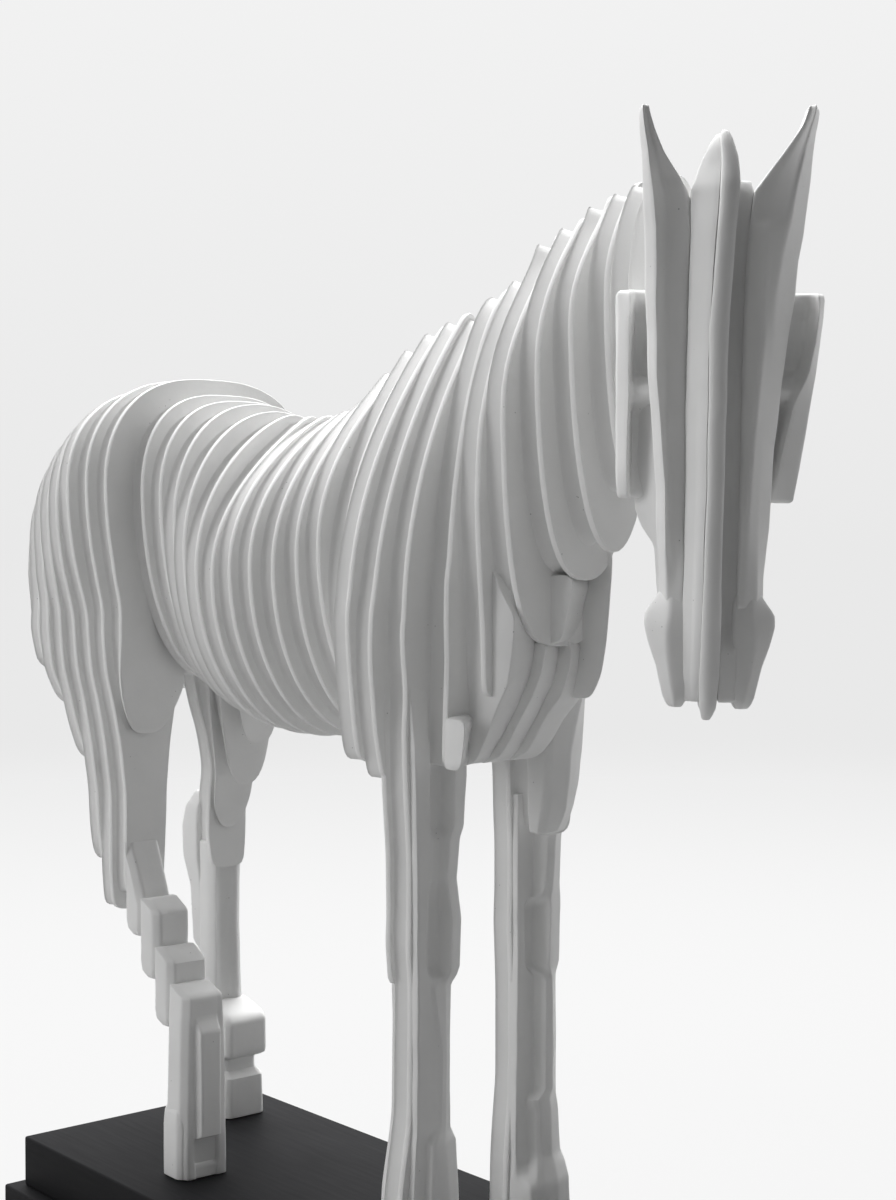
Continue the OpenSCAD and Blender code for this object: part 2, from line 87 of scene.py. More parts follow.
class Graph:
    """Short calls that add and join shader nodes."""

    def __init__(self, tree: bpy.types.NodeTree) -> None:
        """Keeps the tree that gets the nodes."""
        self.tree = tree

    def put(self, socket: bpy.types.NodeSocket, value: object) -> None:
        """Joins an output to an input socket, or sets the input's value."""
        if isinstance(value, bpy.types.NodeSocket):
            self.tree.links.new(value, socket)
        else:
            socket.default_value = value

    def add(self, kind: str, out: str | int, inputs: dict[str | int, object] | None = None,
            **settings: str) -> bpy.types.NodeSocket:
        """Adds a node.

        Args:
            kind: Its type, without ShaderNode in front.
            out: The output that is wanted.
            inputs: A value, or the output of another node, for each input.
            settings: The node's own settings.

        Returns:
            The output.
        """
        node = self.tree.nodes.new(f"ShaderNode{kind}")
        for name, value in settings.items():
            setattr(node, name, value)
        for name, value in (inputs or {}).items():
            self.put(node.inputs[name], value)
        return node.outputs[out]

    def noise(self, where: bpy.types.NodeSocket, scale: float,
              detail: float = 2.0) -> bpy.types.NodeSocket:
        """Adds a cloud texture."""
        return self.add("TexNoise", "Fac", {"Vector": where, "Scale": scale, "Detail": detail})

    def ramp(self, fac: bpy.types.NodeSocket, low: Colour, high: Colour,
             start: float = 0.0, end: float = 1.0) -> bpy.types.NodeSocket:
        """Adds a ramp between two colours.

        Args:
            fac: What drives it.
            low: Colour up to the start.
            high: Colour from the end on.
            start: Where the change starts.
            end: Where it ends.

        Returns:
            The ramp's colour.
        """
        node = self.tree.nodes.new("ShaderNodeValToRGB")
        for element, place, colour in zip(node.color_ramp.elements, (start, end), (low, high)):
            element.position, element.color = place, (*colour, 1.0)
        self.put(node.inputs["Fac"], fac)
        return node.outputs["Color"]

    def spread(self, value: bpy.types.NodeSocket, low: float, high: float,
               start: float = 0.0, end: float = 1.0, kind: str = "LINEAR") -> bpy.types.NodeSocket:
        """Maps a value from one range to another.

        Args:
            value: The value.
            low: Result at the start.
            high: Result at the end.
            start: Where the change starts.
            end: Where it ends.
            kind: Shape of the change.

        Returns:
            The mapped value.
        """
        return self.add("MapRange", "Result", {
            "Value": value, "From Min": start, "From Max": end, "To Min": low, "To Max": high,
        }, interpolation_type=kind)

    def relief(self, height: bpy.types.NodeSocket, strength: float,
               deep_mm: float) -> bpy.types.NodeSocket:
        """Adds a bump."""
        return self.add("Bump", "Normal", {
            "Height": height, "Strength": strength, "Distance": deep_mm * MM,
        })

    def surface(self, inputs: dict[str, object]) -> bpy.types.NodeSocket:
        """Sets inputs of the main shader and gives its output."""
        shader = self.tree.nodes["Principled BSDF"]
        for name, value in inputs.items():
            self.put(shader.inputs[name], value)
        return shader.outputs["BSDF"]


def new_material(name: str) -> tuple[bpy.types.Material, Graph, bpy.types.NodeSocket]:
    """Makes a plain material, and gives its graph and its Object coordinates."""
    mat = bpy.data.materials.new(name)
    mat.use_nodes = True
    graph = Graph(mat.node_tree)
    return mat, graph, graph.add("TexCoord", "Object")


def shaded(colour: Colour, share: float) -> Colour:
    """A colour made darker or lighter."""
    return tuple(c * share for c in colour)


@dataclass(frozen=True)
class Plaster:
    """Matt white cast finish with faint rubbing marks, and fine pores drawn only as darker specks
    of colour, which are painted shade in the pits.
    """

    name: str = "white_cast"
    colour: Colour = (0.86, 0.86, 0.855)
    stain: float = 0.955
    stain_scale: float = 38.0
    roughness: float = 0.62
    specular: float = 0.35
    pore_scale: float = 420.0
    pore_size: float = 0.11
    # How dark the painted shade in the pores is
    pore_shade_strength: float = 0.55
    patch_scale: float = 90.0
    patch_least: float = 0.64
    grain_scale: float = 1500.0
    grain_share: float = 0.25
    rub_scale: float = 160.0
    bump: float = 0.12
    bump_mm: float = 0.6

    def build(self) -> bpy.types.Material:
        """Makes the node material.

        Returns:
            The new material.
        """
        mat, graph, where = new_material(self.name)
        cloud = graph.noise(where, self.stain_scale, 5.0)
        tone = graph.ramp(cloud, shaded(self.colour, self.stain), self.colour, 0.30, 0.62)
        # Pores: darker specks of colour, gated into patches, that paint the shade inside the pits
        cells = graph.add("TexVoronoi", "Distance", {"Scale": self.pore_scale, "Vector": where})
        pore_shade_spots = graph.ramp(cells, BLACK, WHITE, 0.045, self.pore_size)
        gate = graph.add("Math", 0, {
            0: graph.noise(where, self.patch_scale), 1: self.patch_least,
        }, operation="GREATER_THAN")
        pore_shade_patches = graph.add(
            "Mix", "Result", {"Factor": gate, "A": (*WHITE, 1.0), "B": pore_shade_spots}, data_type="RGBA")
        tone_and_pore_shade = graph.add(
            "Mix", "Result", {"Factor": self.pore_shade_strength, "A": tone, "B": pore_shade_patches},
            data_type="RGBA", blend_type="MULTIPLY")
        height = graph.add("Math", 0, {
            0: graph.noise(where, self.grain_scale, 3.0), 1: self.grain_share,
            2: graph.noise(where, self.rub_scale, 6.0),
        }, operation="MULTIPLY_ADD")
        graph.surface({
            "Base Color": tone_and_pore_shade, "Roughness": self.roughness, "Specular IOR Level": self.specular,
            "Normal": graph.relief(height, self.bump, self.bump_mm),
        })
        return mat


@dataclass(frozen=True)
class SatinPaint:
    """Black satin paint over board, with faint brush grain."""

    name: str = "black_satin"
    colour: Colour = (0.012, 0.012, 0.013)
    least_rough: float = 0.48
    most_rough: float = 0.64
    specular: float = 0.04
    brush_stretch: Colour = (12.0, 160.0, 160.0)
    brush_scale: float = 3.0
    stain_scale: float = 30.0
    bump: float = 0.10
    bump_mm: float = 0.4

    def build(self) -> bpy.types.Material:
        """Makes the node material.

        Returns:
            The new material.
        """
        mat, graph, where = new_material(self.name)
        stretch = graph.add("Mapping", "Vector", {"Vector": where, "Scale": self.brush_stretch})
        brush = graph.noise(stretch, self.brush_scale, 6.0)
        cloud = graph.noise(where, self.stain_scale, 4.0)
        graph.surface({
            "Base Color": graph.ramp(cloud, shaded(self.colour, 0.8), shaded(self.colour, 1.5)),
            "Roughness": graph.spread(brush, self.least_rough, self.most_rough),
            "Specular IOR Level": self.specular,
            "Normal": graph.relief(brush, self.bump, self.bump_mm),
        })
        return mat


@dataclass(frozen=True)
class Felt:
    """Dark matted felt."""

    name: str = "dark_felt"
    dark: Colour = (0.012, 0.012, 0.013)
    pale: Colour = (0.06, 0.06, 0.062)
    roughness: float = 0.95
    fibre_scale: float = 900.0
    bump: float = 0.6
    bump_mm: float = 0.5

    def build(self) -> bpy.types.Material:
        """Makes the node material.

        Returns:
            The new material.
        """
        mat, graph, where = new_material(self.name)
        fibre = graph.noise(where, self.fibre_scale, 6.0)
        graph.surface({
            "Base Color": graph.ramp(fibre, self.dark, self.pale), "Roughness": self.roughness,
            "Normal": graph.relief(fibre, self.bump, self.bump_mm),
        })
        return mat


@dataclass(frozen=True)
class PlatedSteel:
    """Zinc-plated screw steel with fine turning marks."""

    name: str = "plated_steel"
    dark: Colour = (0.50, 0.50, 0.50)
    pale: Colour = (0.68, 0.68, 0.67)
    mark_scale: float = 700.0
    least_rough: float = 0.25
    most_rough: float = 0.42

    def build(self) -> bpy.types.Material:
        """Makes the node material.

        Returns:
            The new material.
        """
        mat, graph, where = new_material(self.name)
        marks = graph.noise(where, self.mark_scale)
        graph.surface({
            "Metallic": 1.0, "Base Color": graph.ramp(marks, self.dark, self.pale),
            "Roughness": graph.spread(marks, self.least_rough, self.most_rough),
        })
        return mat


@dataclass
class Finishes:
    """One material for each finish: cast, paint, felt and steel."""

    plaster: bpy.types.Material = field(default_factory=lambda: Plaster().build())
    paint: bpy.types.Material = field(default_factory=lambda: SatinPaint().build())
    felt: bpy.types.Material = field(default_factory=lambda: Felt().build())
    steel: bpy.types.Material = field(default_factory=lambda: PlatedSteel().build())


# ------------------------------------------------------------------------- mesh tools


def finish_piece(
    bm: bmesh.types.BMesh,
    name: str,
    nodes: list[str],
    material: bpy.types.Material,
    sharp_deg: float = 40.0,
) -> bpy.types.Object:
    """Turns a finished bmesh into a piece that stands for CAD nodes.

    Args:
        bm: The mesh, in metres, in the part's frame.
        name: Name of the piece.
        nodes: CAD nodes that the piece replaces.
        material: Its finish.
        sharp_deg: Edges sharper than this stay crisp.

    Returns:
        The new object.
    """
    bmesh.ops.recalc_face_normals(bm, faces=bm.faces)
    mesh = bpy.data.meshes.new(name)
    bm.to_mesh(mesh)
    bm.free()
    mesh.materials.append(material)
    mesh.polygons.foreach_set("use_smooth", [True] * len(mesh.polygons))
    mesh.set_sharp_from_angle(angle=math.radians(sharp_deg))
    piece = bpy.data.objects.new(name, mesh)
    bpy.context.scene.collection.objects.link(piece)
    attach(piece, "root")
    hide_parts(*nodes)
    log.info("%s: %d faces", name, len(mesh.polygons))
    return piece


def cast_piece(bm: bmesh.types.BMesh, node: str, finishes: Finishes,
               sharp_deg: float) -> bpy.types.Object:
    """Turns a finished bmesh into the white piece that stands for one node."""
    return finish_piece(bm, f"{node}_cast", [node], finishes.plaster, sharp_deg)


def round_edges(bm: bmesh.types.BMesh, radius: float, segments: int = 4,
                min_deg: float = 20.0) -> None:
    """Rounds every edge that is sharper than an angle.

    Args:
        bm: The mesh, changed in place.
        radius: Width of the rounding, in metres.
        segments: Faces across the rounding.
        min_deg: Flatter edges are left alone.
    """
    limit = math.radians(min_deg)
    edges = [e for e in bm.edges if e.is_manifold and e.calc_face_angle(0.0) > limit]
    bmesh.ops.bevel(
        bm, geom=edges, offset=radius, offset_type="OFFSET", affect="EDGES",
        segments=segments, profile=0.5, material=-1, clamp_overlap=True,
    )


def loft(bm: bmesh.types.BMesh, rings: list[list[Vector]]) -> None:
    """Extrudes one face through rings of equal count and leaves a closed solid.

    Args:
        bm: The mesh that gets the solid.
        rings: Corner places of each ring, in order.
    """
    top = bm.faces.new([bm.verts.new(p) for p in rings[0]])
    for step, ring in enumerate(rings[1:]):
        made = bmesh.ops.extrude_face_region(bm, geom=[top])
        if step:
            bmesh.ops.delete(bm, geom=[top], context="FACES_ONLY")
        top = next(g for g in made["geom"] if isinstance(g, bmesh.types.BMFace))
        for vert, place in zip(top.verts, ring):
            vert.co = place


def smooth_ring(points: list[Vector], passes: int) -> list[Vector]:
    """Relaxes a closed ring of points, which rounds its corners.

    Args:
        points: The ring.
        passes: How many times it is relaxed.

    Returns:
        The relaxed ring.
    """
    for _ in range(passes):
        points = [
            p * 0.5 + (points[k - 1] + points[(k + 1) % len(points)]) * 0.25
            for k, p in enumerate(points)
        ]
    return points


def resample(path: list[Vector], count: int) -> list[Vector]:
    """Spreads points evenly along an open path.

    Args:
        path: The path.
        count: Number of spans; the result has one point more.

    Returns:
        The new points, ends included.
    """
    if len(path) < 2:
        path = [path[0], path[0]]
    lengths = [0.0]
    for a, b in zip(path, path[1:]):
        lengths.append(lengths[-1] + (b - a).length)
    total, out, k = lengths[-1], [], 0
    for step in range(count + 1):
        want = total * step / count
        while k < len(path) - 2 and lengths[k + 1] < want:
            k += 1
        span = lengths[k + 1] - lengths[k]
        out.append(path[k].lerp(path[k + 1], (want - lengths[k]) / span if span else 0.0))
    return out


def path_length(path: list[Vector]) -> float:
    """Length of an open path, in metres."""
    return sum((b - a).length for a, b in zip(path, path[1:]))


# --------------------------------------------------------------------------- the body


@dataclass(frozen=True)
class TrunkRow:
    """Outline of one plate: heights as shares of back_h, half width as a share of
    body_w, and the bluntness of crest and belly."""

    top: float
    middle: float
    bottom: float
    half: float
    crest: float
    belly: float


@dataclass(frozen=True)
class LimbRow:
    """A limb at one height: height as a share of back_h, rear and front in plates,
    outer and inner side as shares of body_w."""

    height: float
    rear: float
    front: float
    outer: float
    inner: float


def limb_rows(*rows: tuple[float, ...]) -> list[LimbRow]:
    """Makes the rows of a limb, from its foot up."""
    return [LimbRow(*row) for row in rows]


# Plates from the rump to the poll
TRUNK_SHARES = [TrunkRow(*row) for row in (
    (0.800, 0.735, 0.655, 0.180, 2.4, 2.2),
    (0.860, 0.770, 0.640, 0.290, 2.6, 2.6),
    (0.905, 0.795, 0.625, 0.365, 2.8, 2.8),
    (0.938, 0.815, 0.620, 0.420, 2.9, 3.0),
    (0.967, 0.835, 0.622, 0.460, 3.0, 3.0),
    (0.988, 0.850, 0.628, 0.490, 3.0, 3.0),
    (1.005, 0.865, 0.633, 0.512, 3.0, 3.0),
    (1.018, 0.885, 0.636, 0.525, 3.0, 3.0),
    (1.027, 0.890, 0.636, 0.505, 2.8, 3.0),
    (1.027, 0.890, 0.632, 0.485, 2.8, 2.8),
    (1.004, 0.880, 0.620, 0.390, 3.0, 2.2),
    (0.994, 0.870, 0.605, 0.378, 2.8, 2.0),
    (0.988, 0.835, 0.590, 0.388, 2.3, 2.0),
    (0.977, 0.800, 0.580, 0.415, 2.0, 2.0),
    (0.972, 0.777, 0.573, 0.435, 1.4, 2.0),
    (0.970, 0.770, 0.570, 0.440, 1.0, 2.0),
    (0.968, 0.778, 0.570, 0.440, 1.15, 2.0),
    (0.970, 0.780, 0.573, 0.430, 1.2, 2.0),
    (0.979, 0.780, 0.577, 0.410, 1.2, 2.0),
    (0.992, 0.795, 0.580, 0.390, 1.1, 2.0),
    (1.020, 0.805, 0.583, 0.380, 0.95, 2.0),
    (1.044, 0.760, 0.565, 0.365, 1.0, 2.4),
    (1.060, 0.723, 0.560, 0.420, 1.0, 3.0),
    (1.070, 0.700, 0.560, 0.410, 1.03, 3.4),
    (1.070, 0.717, 0.566, 0.370, 1.08, 3.4),
    (1.090, 0.720, 0.620, 0.280, 1.5, 3.2),
    (1.105, 0.880, 0.640, 0.250, 1.08, 4.0),
    (1.140, 0.947, 0.697, 0.245, 0.72, 3.6),
    (1.152, 0.990, 0.767, 0.205, 0.90, 2.6),
    (1.170, 1.033, 0.795, 0.180, 0.70, 2.0),
    (1.178, 1.060, 0.850, 0.140, 0.90, 2.0),
    (1.180, 1.060, 0.900, 0.120, 1.20, 2.0),
    (1.170, 1.060, 0.930, 0.120, 1.50, 2.0),
)]
SWAY_SHARES = {29: 0.01, 30: 0.01, 31: -0.02, 32: -0.06}
HIND_RIGHT_SHARES = limb_rows(
    (0.318, 6.00, 8.30, 0.330, 0.170),
    (0.345, 5.80, 8.30, 0.335, 0.165),
    (0.370, 5.45, 8.30, 0.340, 0.165),
    (0.395, 5.30, 8.30, 0.340, 0.160),
    (0.460, 4.80, 8.40, 0.340, 0.150),
    (0.475, 4.75, 8.30, 0.340, 0.150),
    (0.543, 4.10, 8.35, 0.365, 0.130),
    (0.590, 3.20, 9.00, 0.390, 0.110),
    (0.607, 2.90, 9.40, 0.400, 0.100),
    (0.640, 2.00, 9.60, 0.425, 0.080),
    (0.700, 1.30, 9.90, 0.440, 0.060),
    (0.780, 1.20, 10.2, 0.450, 0.040),
)
HIND_LEFT_SHARES = limb_rows(
    (0.350, 4.35, 6.05, 0.370, 0.210),
    (0.385, 3.90, 6.30, 0.378, 0.195),
    (0.397, 3.70, 6.50, 0.380, 0.190),
    (0.430, 4.10, 7.00, 0.380, 0.195),
    (0.445, 4.30, 7.25, 0.385, 0.196),
    (0.483, 4.90, 7.90, 0.390, 0.200),
    (0.505, 4.85, 8.30, 0.393, 0.190),
    (0.550, 4.70, 9.00, 0.400, 0.160),
    (0.617, 3.40, 9.40, 0.410, 0.120),
    (0.667, 1.90, 9.60, 0.430, 0.100),
    (0.780, 1.00, 10.2, 0.480, 0.040),
)
FORE_RIGHT_SHARES = limb_rows(
    (0.000, 22.45, 24.6, 0.400, 0.170),
    (0.095, 22.55, 24.4, 0.390, 0.180),
    (0.110, 22.60, 24.3, 0.385, 0.185),
    (0.150, 22.70, 24.1, 0.365, 0.200),
    (0.180, 22.70, 24.1, 0.350, 0.205),
    (0.290, 22.70, 24.1, 0.345, 0.205),
    (0.335, 22.60, 24.1, 0.345, 0.200),
    (0.370, 22.60, 24.1, 0.355, 0.190),
    (0.400, 22.60, 24.1, 0.350, 0.195),
    (0.470, 22.50, 24.1, 0.350, 0.195),
    (0.550, 22.20, 24.1, 0.365, 0.185),
    (0.620, 21.80, 24.6, 0.372, 0.150),
    (0.660, 21.80, 24.6, 0.372, 0.120),
    (0.720, 21.80, 24.6, 0.370, 0.080),
)
FORE_LEFT_SHARES = limb_rows(
    (0.000, 21.90, 23.9, 0.400, 0.165),
    (0.095, 22.00, 23.8, 0.395, 0.170),
    (0.130, 22.00, 23.1, 0.385, 0.180),
    (0.150, 22.00, 23.1, 0.375, 0.185),
    (0.180, 21.95, 23.1, 0.365, 0.195),
    (0.290, 21.95, 23.1, 0.365, 0.195),
    (0.335, 21.90, 23.1, 0.370, 0.190),
    (0.370, 21.85, 23.2, 0.380, 0.185),
    (0.400, 21.85, 23.2, 0.370, 0.190),
    (0.470, 21.80, 23.3, 0.365, 0.190),
    (0.480, 21.80, 24.1, 0.365, 0.185),
    (0.550, 21.60, 24.1, 0.370, 0.180),
    (0.620, 21.30, 24.6, 0.380, 0.150),
    (0.660, 21.30, 24.6, 0.385, 0.120),
    (0.720, 21.30, 24.6, 0.385, 0.080),
)
# Lower ends of three shoulder plates, which run on below the belly
APRON_SHARES = limb_rows(
    (0.565, 20.0, 23.0, 0.375, 0.230),
    (0.580, 20.0, 23.0, 0.388, 0.215),
    (0.620, 20.0, 23.0, 0.405, 0.190),
    (0.680, 20.0, 23.0, 0.418, 0.140),
    (0.740, 20.0, 23.0, 0.420, 0.100),
)
CHEST_SHARES = limb_rows(
    (0.566, 22.0, 27.0, 0.296, 0.200),
    (0.640, 22.0, 27.0, 0.289, 0.150),
    (0.700, 22.0, 27.0, 0.280, 0.100),
    (0.780, 22.0, 27.0, 0.278, 0.060),
)
TONGUE_SHARES = limb_rows(
    (0.643, 23.0, 28.0, 0.226, 0.080),
    (0.720, 23.0, 28.0, 0.229, 0.060),
    (0.800, 23.0, 28.0, 0.236, 0.040),
    (0.860, 23.0, 28.0, 0.246, 0.020),
)
# Section through a plate from rear to front: place as a share of the pitch, depth below
# the rim as a share of the rim depth
RIM_SHARES = [
    (0.00, 0.44), (0.02, 0.52), (0.07, 0.60), (0.15, 0.68), (0.26, 0.78), (0.38, 0.88),
    (0.48, 0.96), (0.55, 1.00), (0.61, 0.97), (0.655, 0.82), (0.69, 0.56), (0.72, 0.30),
    (0.75, 0.12), (0.79, 0.02), (0.86, 0.00), (0.975, 0.00), (1.00, 0.05), (1.00, 0.44),
]


@dataclass
class LimbSpan:
    """A limb as one plate shows it: its lower and upper end, the place of its section in
    plates, the widest that it may be, where it starts to blend into the trunk, how high its
    thin foot reaches, and how round its section is."""

    rows: list[LimbRow]
    low: float
    high: float
    place: float
    cap: float
    blend_low: float = 0.69
    taper: float = 0.0
    soft: float = 1 / 3


@dataclass(frozen=True)
class Reach:
    """Plates that show a limb, from the first to the last. The place is the middle of each
    plate where none is given, and a capped limb stays within the trunk's width."""

    first: int
    last: int
    side: Side
    rows: list[LimbRow]
    low: float
    high: float
    blend_low: float = 0.69
    place: float | None = None
    capped: bool = False
    taper: float = 0.0
    soft: float = 1 / 3


# A later entry takes the place of an earlier one
REACHES = (
    Reach(0, 9, Side.RIGHT, HIND_RIGHT_SHARES, 0.340, 0.78, capped=True),
    Reach(7, 7, Side.RIGHT, HIND_RIGHT_SHARES, 0.318, 0.78, capped=True),
    Reach(9, 9, Side.RIGHT, HIND_RIGHT_SHARES, 0.340, 0.78, capped=True, taper=0.13),
    Reach(0, 6, Side.LEFT, HIND_LEFT_SHARES, 0.350, 0.78, capped=True, soft=1.0),
    Reach(5, 5, Side.LEFT, HIND_LEFT_SHARES, 0.600, 0.78, capped=True, soft=1.0),
    Reach(7, 9, Side.LEFT, HIND_LEFT_SHARES, 0.350, 0.78, capped=True, taper=0.22, soft=1.0),
    Reach(22, 22, Side.RIGHT, APRON_SHARES, 0.565, 0.74, 0.66, place=21.5),
    Reach(23, 23, Side.RIGHT, APRON_SHARES, 0.548, 0.74, 0.66, place=21.5),
    Reach(23, 23, Side.LEFT, FORE_LEFT_SHARES, 0.0, 0.72, 0.60),
    Reach(24, 24, Side.LEFT, FORE_LEFT_SHARES, 0.47, 0.72, 0.60),
    Reach(24, 24, Side.RIGHT, FORE_RIGHT_SHARES, 0.0, 0.72, 0.60),
    Reach(25, 25, Side.RIGHT, CHEST_SHARES, 0.566, 0.78, 0.70),
    Reach(25, 25, Side.LEFT, CHEST_SHARES, 0.600, 0.78, 0.70),
    Reach(26, 26, Side.RIGHT, TONGUE_SHARES, 0.643, 0.86, 0.78),
    Reach(26, 26, Side.LEFT, TONGUE_SHARES, 0.643, 0.86, 0.78),
)


@dataclass
class RibbedBody:
    """Trunk, neck and upper limbs: one cast plate for each CAD plate."""

    finishes: Finishes
    back_h: float = 300 * MM
    body_w: float = 100 * MM
    pitch: float = PITCH * MM
    rim_depth: float = 4.3 * MM
    crest_half: float = 1.3 * MM
    base_h: float = BASE_H * MM
    spacing: float = 2.4 * MM
    limb_step: float = 1.0 * MM
    blend: float = 3.0 * MM
    thin_limb: float = 0.9 * MM
    proud: float = 0.08 * MM
    fullness_cut: float = 0.3
    least_rows: int = 5
    smooth_passes: int = 3
    arc_deg: int = 3
    belly_steps: int = 24
    foot_share: float = 0.10
    # The rim behind the right foreleg's plate. Each part has its lower and its upper end,
    # its least depth and how proud it stands, as shares
    rim_plate: int = 23
    rim_place: float = 22.85
    rim_start: int = 8
    rim_most: float = 0.75
    rim_steps: tuple[int, int] = (44, 5)
    rim_parts: tuple[tuple[float, float, float, float], ...] = (
        (0.322, 0.66, 0.0, 1.0), (0.04, 0.33, 0.6, 2.5),
    )

    def trunk_half(self, row: TrunkRow, z: float, inset: float) -> float | None:
        """Half width of the trunk at a height.

        Args:
            row: The plate's outline.
            z: Height above the plinth, in metres.
            inset: Depth below the rim, in metres.

        Returns:
            The half width, or None above the crest or below the belly.
        """
        top = row.top * self.back_h - inset
        middle = row.middle * self.back_h
        low = row.bottom * self.back_h + inset
        if z > top or z < low:
            return None
        if z >= middle:
            t, blunt = (z - middle) / (top - middle), row.crest
        else:
            t, blunt = (middle - z) / (middle - low), row.belly
        wide = (row.half * self.body_w - inset) * max(0.0, 1 - t * t) ** (1 / blunt)
        return max(wide, self.crest_half)

    def limb_at(self, rows: list[LimbRow], height: float) -> LimbRow:
        """Limb row at a height share, mixed from its neighbours."""
        if height <= rows[0].height:
            return rows[0]
        for a, b in zip(rows, rows[1:]):
            if height <= b.height:
                f = (height - a.height) / (b.height - a.height)
                return LimbRow(*(
                    getattr(a, n) + (getattr(b, n) - getattr(a, n)) * f
                    for n in ("height", "rear", "front", "outer", "inner")
                ))
        return rows[-1]

    def limb_fullness(self, row: LimbRow, place: float, soft: float) -> float:
        """How full the limb is at a plate place: 0 outside it, 1 in its middle."""
        middle, half = (row.rear + row.front) / 2, (row.front - row.rear) / 2
        d = abs(place - middle) / half
        return 0.0 if d >= 1 else (1 - d ** 4) ** soft

    def limb_sides(self, span: LimbSpan, inset: float) -> list[tuple[float, float, float]]:
        """Outer and inner side of a limb from its foot up.

        Args:
            span: The limb as the plate shows it.
            inset: Depth below the rim, in metres.

        Returns:
            (height, outer, inner) in metres, or an empty list where it has no limb.
        """
        steps = int((span.high - span.low) * self.back_h / self.limb_step)
        found: list[tuple[float, float, float]] = []
        for k in range(steps + 1):
            height = span.low + (span.high - span.low) * k / steps
            row = self.limb_at(span.rows, height)
            full = self.limb_fullness(row, span.place, span.soft)
            if full <= self.fullness_cut:
                if found:
                    break
                continue
            middle = (row.outer + row.inner) / 2 * self.body_w
            half = max((row.outer - row.inner) / 2 * full * self.body_w - inset, self.thin_limb)
            cap = span.cap * self.body_w - inset
            lift = inset if (not found and k > 0) else 0.0
            found.append((
                height * self.back_h + lift, min(middle + half, cap), min(middle - half, cap)))
        return found if len(found) >= self.least_rows else []

    def limb_outer(self, limb: list[tuple[float, float, float]], span: LimbSpan,
                   trunk: float | None, z: float) -> float | None:
        """Outer side of a limb at a height, blended into the trunk near its upper end.

        Args:
            limb: The limb, as limb_sides gives it.
            span: The limb as the plate shows it.
            trunk: Half width of the trunk at that height, if it has one there.
            z: Height above the plinth, in metres.

        Returns:
            The side, or None below or above the limb.
        """
        if z < limb[0][0] or z > limb[-1][0]:
            return None
        for (za, oa, _), (zb, ob, _) in zip(limb, limb[1:]):
            if z <= zb:
                value = oa + (ob - oa) * (z - za) / max(zb - za, 1e-9)
                break
        blend_low, blend_high = span.blend_low * self.back_h, limb[-1][0]
        if trunk is not None and blend_low < z and blend_low < blend_high:
            f = min(1.0, (z - blend_low) / (blend_high - blend_low))
            value += (min(trunk, value) - value) * (f * f * (3 - 2 * f))
        return value

    def side_paths(self, row: TrunkRow, span: LimbSpan | None, inset: float) -> list[list[Vector]]:
        """Outline of one half of a plate, from the crest to the middle of the belly.

        Args:
            row: The plate's outline.
            span: Its limb on this side, if it has one.
            inset: Depth below the rim, in metres.

        Returns:
            Open paths of (y, z) points, end to end, y positive.
        """
        top = row.top * self.back_h - inset
        low = row.bottom * self.back_h + inset
        limb = self.limb_sides(span, inset) if span else []
        if limb:
            foot_z, outer0, _ = limb[0]
            inside = self.trunk_half(row, foot_z, inset)
            if inside is not None and inside > outer0:
                limb = []
        middle = row.middle * self.back_h
        fine = [
            middle + (top - middle) * math.cos(math.radians(a)) for a in range(0, 90, self.arc_deg)
        ] + [
            middle + (low - middle) * math.sin(math.radians(a)) for a in range(0, 91, self.arc_deg)
        ]
        levels = sorted(set(fine) | {round(z, 6) for z, _, _ in limb}, reverse=True)
        outer: list[Vector] = [Vector((0.0, top))]
        stop = limb[0][0] if limb else low
        for z in levels:
            if z < stop - 1e-9:
                break
            trunk = self.trunk_half(row, z, inset)
            side = self.limb_outer(limb, span, trunk, z) if limb else None
            if trunk is None and side is None:
                continue
            a = trunk if trunk is not None else -1.0
            b = side if side is not None else -1.0
            near = max(self.blend - abs(a - b), 0.0) / self.blend
            outer.append(Vector((max(a, b) + near * near * self.blend / 4, z)))
        if not limb:
            outer.append(Vector((0.0, low)))
            return [outer]
        return [outer, *self.inner_paths(row, limb, inset)]

    def inner_paths(self, row: TrunkRow, limb: list[tuple[float, float, float]],
                    inset: float) -> list[list[Vector]]:
        """Outline of a limb's foot, its inner side and the belly.

        Args:
            row: The plate's outline.
            limb: Its limb, as limb_sides gives it.
            inset: Depth below the rim, in metres.

        Returns:
            Open paths of (y, z) points, end to end, y positive.
        """
        low = row.bottom * self.back_h + inset
        foot_z, outer0, inner0 = limb[0]
        under = [Vector((outer0, foot_z)), Vector((inner0, foot_z))]
        inner = [Vector((inner0, foot_z))]
        join = None
        for z, _, i in limb[1:]:
            wide = self.trunk_half(row, z, inset)
            if wide is not None and wide >= i:
                join = z
                break
            inner.append(Vector((i, z)))
        if join is None:
            join = max(low, foot_z) + 1e-4
        start = self.trunk_half(row, join, inset) or self.crest_half
        belly = [inner[-1]]
        for k in range(self.belly_steps + 1):
            z = join + (low - join) * k / self.belly_steps
            wide = self.trunk_half(row, z, inset)
            belly.append(Vector((min(wide if wide is not None else self.crest_half, start), z)))
        belly.append(Vector((0.0, low)))
        return [under, inner, belly]

    def ring(self, index: int, spans: dict[Side, LimbSpan | None], inset: float,
             counts: dict[Side, list[int]]) -> list[Vector]:
        """Closed outline of a plate at one depth.

        Args:
            index: The plate.
            spans: Its limbs.
            inset: Depth below the rim, in metres.
            counts: Spans of each path, which keep all rings of a plate alike.

        Returns:
            (y, z) points above the plinth.
        """
        halves: dict[Side, list[Vector]] = {}
        for side in Side:
            points: list[Vector] = []
            paths = self.side_paths(TRUNK_SHARES[index], spans[side], inset)
            for path, count in zip(paths, counts[side]):
                points += resample(path, count)[:-1]
            points.append(paths[-1][-1])
            halves[side] = [Vector((p.x * side.value, p.y)) for p in points]
        right, left = halves[Side.RIGHT], halves[Side.LEFT]
        return smooth_ring(right + left[-2:0:-1], self.smooth_passes)

